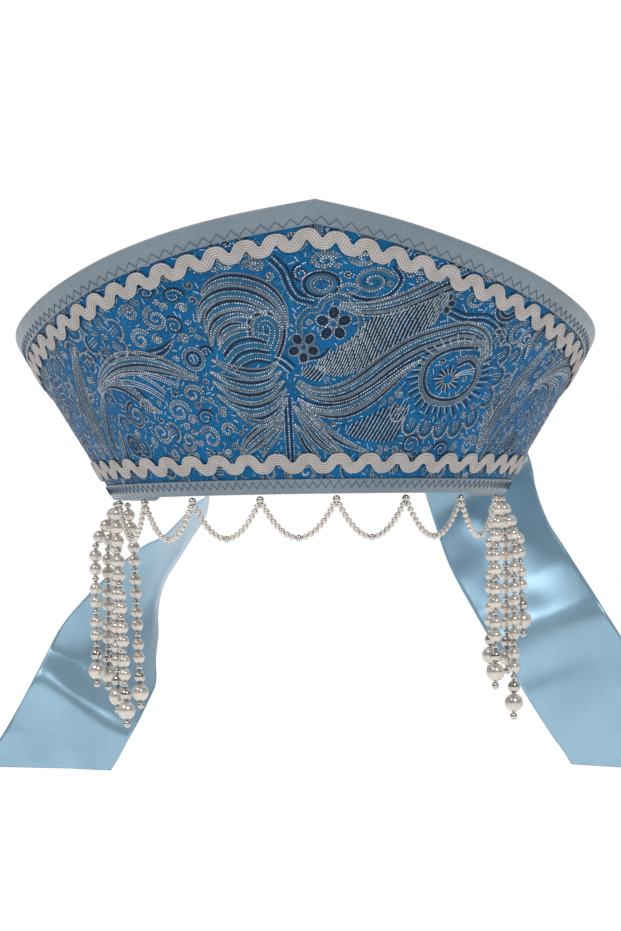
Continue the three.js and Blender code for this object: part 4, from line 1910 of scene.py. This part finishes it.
class Bead(Enum):
    """A kind of bead: its diameter across the thread, its length along it, and its finish."""

    SILVER = (3.1 * MM, 3.0 * MM, Finish.SILVER)
    PEARL = (5.8 * MM, 6.0 * MM, Finish.PEARL)
    LARGE_SILVER = (5.6 * MM, 6.0 * MM, Finish.SILVER)
    DROP_PEARL = (8.2 * MM, 8.4 * MM, Finish.PEARL)
    STOPPER = (3.4 * MM, 3.6 * MM, Finish.SILVER)
    SEED_PEARL = (2.7 * MM, 2.75 * MM, Finish.PEARL)
    SEED_SILVER = (3.0 * MM, 3.0 * MM, Finish.SILVER)
    CATCH = (3.4 * MM, 3.3 * MM, Finish.SILVER)


@dataclass
class Threaded:
    """Beads on one thread, with the thread.

    Attributes:
        name: The name of the pieces.
        node: The solid that they stand for.
        route: Close points along the thread.
        beads: Each bead, with the distance of its middle down the thread.
        thread: The thread's diameter.
        tilt: How far a bead may lean off the thread.
        uneven: The least and the most width of a bead, as a share of its own.
        sides, rows: Faces round a bead, and from one of its poles to the other.
    """

    name: str
    node: str
    route: Sequence[Vector]
    beads: Sequence[tuple[Bead, float]]
    thread: float = 0.5 * MM
    tilt: float = 0.12
    uneven: Pair = (0.97, 1.02)
    sides: int = 14
    rows: int = 9

    def at(self, distance: float) -> tuple[Vector, Vector]:
        """Find a place on the thread.

        Args:
            distance: How far along the route it is.

        Returns:
            The point, and the thread's direction there.
        """
        walked = 0.0
        for here, ahead in zip(self.route, self.route[1:]):
            step = (ahead - here).length
            if walked + step >= distance or ahead is self.route[-1]:
                return here.lerp(ahead, (distance - walked) / step), (ahead - here).normalized()
            walked += step
        return self.route[-1], Vector((0, 0, -1))

    def build(self, shop: Workshop, seed: int) -> None:
        """Build a piece for the pearls, one for the metal beads and one for the thread.

        Args:
            shop: The trees and finishes.
            seed: The seed of the small differences between beads.
        """
        chance = random.Random(seed)
        kinds = (("pearls", Finish.PEARL, "pearl"), ("silver", Finish.SILVER, "silver_bead"))
        for label, finish, slot in kinds:
            points, along, sizes = [], [], []
            for bead, distance in self.beads:
                if bead.value[2] is not finish:
                    continue
                place, way = self.at(distance)
                tilt = Vector([chance.uniform(-self.tilt, self.tilt) for _ in range(3)])
                points.append(tuple(place))
                along.extend((way + tilt).normalized())
                across = bead.value[0] * chance.uniform(*self.uneven)
                sizes.extend((across, across, bead.value[1]))
            mesh = bpy.data.meshes.new(f"{self.name}_{label}")
            mesh.from_pydata(points, [], [])
            mesh.attributes.new("along", "FLOAT_VECTOR", "POINT").data.foreach_set("vector", along)
            mesh.attributes.new("size", "FLOAT_VECTOR", "POINT").data.foreach_set("vector", sizes)
            piece = new_piece(f"{self.name}_{label}", mesh)
            values = {"Sides": self.sides, "Rows": self.rows, "Material": shop.material(finish)}
            apply_trees(piece, [(shop.trees.beads, values)])
            shop.keep(piece, [self.node])
        name = f"{self.name}_thread"
        piece = new_piece(name, line_mesh(name, [self.route]))
        shop.lay(piece, self.thread, self.thread, 6, Finish.BRAID)
        shop.keep(piece)


@dataclass
class SwagString:
    """The string of small beads, caught up at eight points of the rim.

    Attributes:
        shape: The band's surface.
        catches: The angles of the eight catches, in degrees.
        fold: The height of the lower tape's fold.
        bead: The diameter of its small pearls.
        sag: How far each swag hangs down.
        pearls: Small pearls on each side of a swag's silver bead.
        steps: Steps along a swag.
    """

    shape: BandShape
    catches: tuple[float, ...] = (-73, -53.1, -32.8, -11.6, 9.9, 30.5, 51.1, 73.6)
    fold: float = 0.5 * MM
    bead: float = 2.75 * MM
    sag: float = 16.5 * MM
    pearls: int = 8
    steps: int = 48

    def build(self, shop: Workshop) -> None:
        """Build the whole string as one thread.

        Args:
            shop: The trees and finishes.
        """
        seats = []
        for angle in self.catches:
            seat = self.shape.point(angle, self.fold)
            seat.z = -SEAT_GAP - self.bead / 2
            seats.append(seat)
        route: list[Vector] = [seats[0].copy()]
        beads: list[tuple[Bead, float]] = [(Bead.CATCH, 0.0)]
        walked = 0.0
        for start, end in zip(seats, seats[1:]):
            before = walked
            for i in range(1, self.steps + 1):
                u = i / self.steps
                point = start.lerp(end, u)
                point.z -= 4 * self.sag * u * (1 - u)
                walked += (point - route[-1]).length
                route.append(point)
            span = walked - before
            order = [Bead.SEED_PEARL] * self.pearls + [Bead.SEED_SILVER] + [Bead.SEED_PEARL] * self.pearls
            room = span - Bead.CATCH.value[1]
            pitch = room / sum(kind.value[1] for kind in order)
            at = before + Bead.CATCH.value[1] / 2
            for kind in order:
                beads.append((kind, at + kind.value[1] * pitch / 2))
                at += kind.value[1] * pitch
            beads.append((Bead.CATCH, walked))
        Threaded("swag", "swag_string", route, beads).build(shop, seed=7)


@dataclass(frozen=True)
class Strand:
    """One pendant strand.

    Attributes:
        name: The solid that it stands for.
        angle: Its angle on the rim, in degrees.
        first, groups: Its first pearls, and its groups of two pearls and a silver bead.
        push, push_depth: How far it is pushed out, in millimetres, and how far down that is complete.
        lean: How far it leans out for each 100 mm that it drops, in millimetres.
        step: The distance between two points of its thread.
        tuck: How far inside the stopper the thread ends.
    """

    name: str
    angle: float
    first: int
    groups: int
    push: float
    lean: float
    push_depth: float = 22 * MM
    step: float = 1.5 * MM
    tuck: float = 1 * MM

    def beads(self) -> list[Bead]:
        """Return the beads from the rim down to the stopper."""
        order = [Bead.SILVER] + [Bead.PEARL] * self.first + [Bead.SILVER]
        for _ in range(self.groups):
            order += [Bead.PEARL, Bead.PEARL, Bead.SILVER]
        return order + [Bead.LARGE_SILVER, Bead.DROP_PEARL, Bead.STOPPER]

    def build(self, shop: Workshop, shape: BandShape, fold: float) -> None:
        """Build the strand in the line that it hangs in.

        Args:
            shop: The trees and finishes.
            shape: The band's surface.
            fold: The height of the lower tape's fold.
        """
        order = self.beads()
        length = sum(bead.value[1] for bead in order)
        seat = shape.point(self.angle, fold)
        seat.z = -SEAT_GAP
        side = math.copysign(1.0, self.angle)
        route = []
        drop = 0.0
        while drop <= length - self.tuck:
            aside = self.push * smoothstep(drop, 0, self.push_depth) * MM + self.lean * MM * drop / (100 * MM)
            route.append(Vector((seat.x + side * aside, seat.y, seat.z - drop)))
            drop += self.step
        placed = []
        top = 0.0
        for bead in order:
            placed.append((bead, top + bead.value[1] / 2))
            top += bead.value[1]
        string = Threaded(self.name.replace("strand", "beads"), self.name, route, placed)
        string.build(shop, seed=round(self.angle * 10))


STRANDS = (
    Strand("strand_left_1", angle=-77, first=3, groups=4, push=1, lean=-4),
    Strand("strand_left_2", angle=-82.5, first=2, groups=4, push=0.5, lean=0),
    Strand("strand_left_3", angle=-88, first=3, groups=3, push=10, lean=0),
    Strand("strand_left_4", angle=-93.5, first=3, groups=3, push=5, lean=1),
    Strand("strand_left_5", angle=-104, first=2, groups=4, push=-2, lean=-3),
    Strand("strand_right_1", angle=77, first=3, groups=3, push=-1, lean=-2),
    Strand("strand_right_2", angle=82.5, first=3, groups=4, push=6, lean=-2),
    Strand("strand_right_3", angle=88, first=2, groups=3, push=1, lean=0),
    Strand("strand_right_4", angle=93.5, first=2, groups=2, push=7, lean=3),
    Strand("strand_right_5", angle=104, first=2, groups=3, push=-2, lean=-2),
)


# Ribbons


class RibbonRow(NamedTuple):
    """A point of a ribbon's middle line, x outwards on its own side, in millimetres.

    The turn is that of the ribbon's width out of the plane that faces the front, in degrees.
    """

    x: float
    y: float
    z: float
    turn: float


@dataclass(frozen=True)
class Crease:
    """A soft ridge or hollow that runs over a ribbon.

    Attributes:
        start, end: Its ends, as a share along the ribbon and a place over its width from -1 to 1.
        height, reach: How high it stands and how wide it spreads, in millimetres.
    """

    start: Pair
    end: Pair
    height: float
    reach: float

    def rise(self, share: float, across: float, length: float, width: float) -> float:
        """Return its height at a place on the ribbon.

        Args:
            share, across: The place along the ribbon, and over its width from -1 to 1.
            length, width: The ribbon's own.

        Returns:
            The height.
        """

        def flat(place: Pair) -> Vector:
            """Return a place on the flat ribbon."""
            return Vector((place[0] * length, place[1] * width / 2))

        here, start, end = flat((share, across)), flat(self.start), flat(self.end)
        way = end - start
        along = min(max((here - start).dot(way) / way.length_squared, 0.0), 1.0)
        gap = (here - start - way * along).length
        return self.height * MM * math.exp(-((gap / (self.reach * MM)) ** 2))


@dataclass
class TieRibbon:
    """A satin ribbon sewn to one back end of the band.

    Attributes:
        name: The solid that it stands for.
        side: -1 for the left ribbon and 1 for the right one.
        rows: The points of its middle line after its seat.
        joined_row: The row by which its width has turned from its seat into its own line.
        cut_length: The length that it was cut to, along its middle; not used.
        creases: The soft folds in its satin.
        shape: The band's surface.
        width, thickness: Those of its cloth.
        steps, across: Sections along it, and points over its width.
        cut, cut_share: The slant of its free end, and the share of its length in which that grows.
        seat_height: The height of its seat's middle on the band's end.
        seat_share: The share of the way to its joined row in which its seat lets it go.
        length: The length that its creases are laid out on.
        reach: The share of its length over which its direction is measured.
    """

    name: str
    side: float
    rows: tuple[RibbonRow, ...]
    joined_row: int
    cut_length: float
    creases: tuple[Crease, ...]
    shape: BandShape
    width: float = 53 * MM
    thickness: float = 0.4 * MM
    steps: int = 150
    across: int = 32
    cut: float = math.tan(math.radians(31))
    cut_share: float = 0.25
    seat_height: float = 25.5 * MM
    seat_share: float = 0.35
    length: float = 215 * MM
    reach: float = 1e-3

    def seat(self) -> tuple[Vector, Vector, Vector]:
        """Return where the ribbon meets the band's end: its point, its normal and its width."""
        end, height = self.shape.end, self.seat_height
        middle = self.shape.point(end, height, -self.shape.thickness / 2)
        normal = (self.shape.point(end, height) - middle).normalized()
        across = (self.shape.point(end, height + MM, -self.shape.thickness / 2) - middle).normalized()
        return middle + across.cross(normal).normalized() * SEAT_GAP * 0.5, normal, across

    def line(self) -> list[Vector]:
        """Return the points of its middle line, from its seat."""
        return [self.seat()[0]] + [Vector((row.x, row.y, row.z)) * MM for row in self.rows]

    def way_along(self, share: float) -> Vector:
        """Return the direction of its middle line."""
        line = self.line()
        near, far = max(share - self.reach, 0.0), min(share + self.reach, 1.0)
        return (eased_line(line, far) - eased_line(line, near)).normalized()

    def turned(self, share: float) -> Vector:
        """Find the direction of its width as its rows turn it.

        Args:
            share: The place along the ribbon, from 0 to 1.

        Returns:
            The direction.
        """
        turns = [Vector((row.turn, 0, 0)) for row in (self.rows[0], *self.rows)]
        along = self.way_along(share)
        facing = Vector((0, 1, 0)).cross(along).normalized()
        aside = along.cross(facing).normalized()
        turn = math.radians(eased_line(turns, share).x)
        return facing * math.cos(turn) + aside * math.sin(turn)

    def section(self, share: float) -> tuple[Vector, Vector, Vector]:
        """Return a section's middle, its half width with the slant, and its normal.

        Args:
            share: The section's place along the ribbon, from 0 at its seat to 1.

        Returns:
            The middle, the half width and the normal.
        """
        _point, seat_normal, seat_across = self.seat()
        joined_at = self.joined_row / len(self.rows)
        joined = self.turned(joined_at)
        way = math.copysign(1.0, joined.dot(seat_across))
        along = self.way_along(share)
        if share >= joined_at:
            across = self.turned(share) * way
        else:
            mixed = seat_across.lerp(joined * way, smoothstep(share, 0, joined_at))
            across = (mixed - along * mixed.dot(along)).normalized()
        normal = along.cross(across).normalized()
        seated = 1 - smoothstep(share, 0, self.seat_share * joined_at)
        across = across.lerp(seat_across, seated).normalized()
        normal = normal.lerp(seat_normal, seated).normalized()
        cut = way * self.cut * smoothstep(share, 1 - self.cut_share, 1)
        return eased_line(self.line(), share), (across - along * cut) * self.width / 2, normal

    def build(self, shop: Workshop) -> None:
        """Build the ribbon as one thin closed sheet.

        Args:
            shop: The trees and finishes.
        """
        rings, marks = [], []
        mirror = Vector((self.side, 1, 1))
        walked = 0.0
        last = None
        for i in range(self.steps + 1):
            share = i / self.steps
            middle, half, normal = self.section(share)
            walked += (middle - last).length if last is not None else 0.0
            last = middle
            front, back, places = [], [], []
            for k in range(self.across + 1):
                u = 2 * k / self.across - 1
                rise = sum(crease.rise(share, u, self.length, self.width) for crease in self.creases)
                point = middle + half * u + normal * rise
                front.append((point + normal * self.thickness / 2) * mirror)
                back.append((point - normal * self.thickness / 2) * mirror)
                places.append((walked, u * self.width / 2))
            rings.append(front + back[::-1])
            marks.append(places + places[::-1])
        piece = new_piece(f"satin_{self.name}", ring_mesh(self.name, rings, marks))
        piece.data.materials.append(shop.material(Finish.RIBBON))
        outward(piece.data)
        shop.keep(piece, [self.name])


def ribbon_rows(*rows: tuple[float, float, float, float]) -> tuple[RibbonRow, ...]:
    """Return a ribbon's rows from their x, y, z and turn."""
    return tuple(RibbonRow(*row) for row in rows)


LEFT_ROWS = ribbon_rows(
    (77, 68, 27, 88),
    (67, 78.5, 25, 88),
    (57, 86.5, 20, 88),
    (50.5, 90, 10.5, 88),
    (53.5, 90, -0.5, 87),
    (61, 88, -10.5, 84),
    (68.5, 85, -20.5, 81),
    (76, 81, -30, 76),
    (82, 75, -40, 66),
    (87.5, 68, -51, 52),
    (94, 60, -63.5, 34),
    (101.5, 52, -79, 6),
    (109, 46, -94, 0),
    (118.5, 50, -110, 0),
    (128, 54, -125, 0),
)
RIGHT_ROWS = ribbon_rows(
    (81, 67, 25.5, 14),
    (77.5, 78, 20, 14),
    (79, 87, 6.5, 14),
    (87, 80, -20.7, 14),
    (98, 70, -41, 8),
    (109.5, 58, -60.5, 4),
    (121.5, 56, -80.5, 8),
    (140.5, 64, -111.5, 14),
    (151, 70, -129.5, 16),
)
LEFT_CREASES = (
    Crease((0.845, -0.8), (0.93, 1.0), -2.4, 7.0),
    Crease((0.79, -1.0), (0.87, 1.1), 1.5, 9.0),
    Crease((0.91, -1.0), (0.98, 0.3), 1.2, 10.0),
    Crease((0.46, 0.5), (0.74, 0.75), -1.2, 5.0),
    Crease((0.6, -0.6), (0.76, -0.4), 1.0, 9.0),
)
RIGHT_CREASES = (
    Crease((0.62, -1.0), (0.7, 1.0), 1.6, 10.0),
    Crease((0.73, -1.1), (0.8, 1.0), -1.8, 9.0),
    Crease((0.86, -1.0), (0.9, 0.8), 1.3, 11.0),
    Crease((0.42, -0.4), (0.6, -0.2), 0.9, 8.0),
)


# The studio


@dataclass
class Studio:
    """The camera, the lights and the pale floor.

    Attributes:
        focal: The lens, for a film 36 mm on its long side.
        place, forward: Where the camera stands and where it looks.
        roll: How far it is rolled, in degrees.
        floor, floor_reach: The floor's height, and how far it reaches to each side.
        paper, glow: How light the floor is, and how much light it gives off.
        lamps: The name and the place of each wide light.
        lamp_size, watts: Their width and height, and their power.
    """

    focal: float = 127.18
    place: tuple[float, float, float] = (0.05497, -1.49899, -0.021)
    forward: tuple[float, float, float] = (-0.03612, 0.99906, 0.02399)
    roll: float = 0.85
    floor: float = -0.45
    floor_reach: float = 12.0
    paper: float = 0.8
    glow: float = 0.56
    lamps: tuple[tuple[str, tuple[float, float, float]], ...] = (
        ("left_softbox", (-0.8, -0.9, 1.05)),
        ("right_softbox", (0.6, -1.3, 0.85)),
    )
    lamp_size: Pair = (0.7, 0.5)
    watts: float = 8

    def build_camera(self) -> None:
        """Stand the camera where the photograph was taken from."""
        ahead = Vector(self.forward).normalized()
        right = ahead.cross(Vector((0, 0, 1))).normalized()
        above = right.cross(ahead)
        turn = math.radians(self.roll)
        rolled_right = right * math.cos(turn) - above * math.sin(turn)
        rolled_above = above * math.cos(turn) + right * math.sin(turn)
        data = bpy.data.cameras.new("portrait_camera")
        data.sensor_width = 36
        data.lens = self.focal
        camera = bpy.data.objects.new("portrait_camera", data)
        turned = Matrix((rolled_right, rolled_above, -ahead)).transposed().to_4x4()
        camera.matrix_world = Matrix.Translation(Vector(self.place)) @ turned
        bpy.context.scene.collection.objects.link(camera)
        bpy.context.scene.camera = camera

    def add_softbox(self, name: str, place: Vector) -> None:
        """Add a wide light that faces the headdress.

        Args:
            name: Its name.
            place: Where it stands.
        """
        data = bpy.data.lights.new(name, "AREA")
        data.shape = "RECTANGLE"
        data.size, data.size_y = self.lamp_size
        data.energy = self.watts
        lamp = bpy.data.objects.new(name, data)
        lamp.location = place
        lamp.rotation_euler = (-place).to_track_quat("-Z", "Y").to_euler()
        bpy.context.scene.collection.objects.link(lamp)

    def build_world(self) -> None:
        """Light the room: bright above and behind the headdress, dim before it, white to the eye."""
        world = bpy.data.worlds.new("white_room")
        world.use_nodes = True
        world.node_tree.nodes.clear()
        nodes = Nodes(world.node_tree)
        _x, y, z = nodes.separate(nodes.add("ShaderNodeTexCoord").outputs["Generated"])[:3]
        rear = nodes.remap(y, -0.7, 0.6, 0.2, 0.7)
        top = nodes.remap(z, -0.2, 0.9, 0.7, 1.3)
        strength = nodes.product(rear, top)
        lit = nodes.add("ShaderNodeBackground", {"Color": (1, 1, 1, 1), "Strength": strength})
        seen = nodes.add("ShaderNodeBackground", {"Color": (1, 1, 1, 1), "Strength": 1.0})
        eye = nodes.add("ShaderNodeLightPath").outputs["Is Camera Ray"]
        both = nodes.add("ShaderNodeMixShader", {0: eye, 1: lit.outputs[0], 2: seen.outputs[0]})
        out = nodes.add("ShaderNodeOutputWorld")
        nodes.feed(out.inputs[0], both.outputs[0])
        bpy.context.scene.world = world

    def build_floor(self) -> None:
        """Lay the pale floor."""
        mesh = bpy.data.meshes.new("pale_floor")
        reach = self.floor_reach
        corners = [(reach * x, reach * y, self.floor) for x, y in ((-1, -1), (1, -1), (1, 1), (-1, 1))]
        mesh.from_pydata(corners, [], [(0, 1, 2, 3)])
        floor = new_piece("pale_floor", mesh)
        material = bpy.data.materials.new("pale_paper")
        material.use_nodes = True
        shader = material.node_tree.nodes["Principled BSDF"]
        shader.inputs["Base Color"].default_value = (self.paper, self.paper, self.paper, 1)
        shader.inputs["Roughness"].default_value = 0.9
        shader.inputs["Emission Color"].default_value = (1, 1, 1, 1)
        shader.inputs["Emission Strength"].default_value = self.glow
        mesh.materials.append(material)

    def build(self) -> None:
        """Build the whole studio."""
        self.build_camera()
        self.build_world()
        self.build_floor()
        for name, place in self.lamps:
            self.add_softbox(name, Vector(place))
        bpy.context.scene.view_settings.view_transform = "Standard"


def main() -> None:
    """Build the headdress piece by piece."""
    logging.basicConfig(level=logging.INFO, format="%(name)s %(message)s")
    Studio().build()
    shop = Workshop(SharedTrees.build())
    shape = BandShape()
    crown = Crown(shape)
    crown.build(shop)
    Brocade(shape).build(shop)
    Rickrack(shape).build(shop)
    SwagString(shape).build(shop)
    for strand in STRANDS:
        strand.build(shop, shape, crown.lower_fold)
    TieRibbon("ribbon_left", -1.0, LEFT_ROWS, 6, 224 * MM, LEFT_CREASES, shape).build(shop)
    TieRibbon("ribbon_right", 1.0, RIGHT_ROWS, 4, 205 * MM, RIGHT_CREASES, shape).build(shop)


if __name__ == "__main__":
    main()
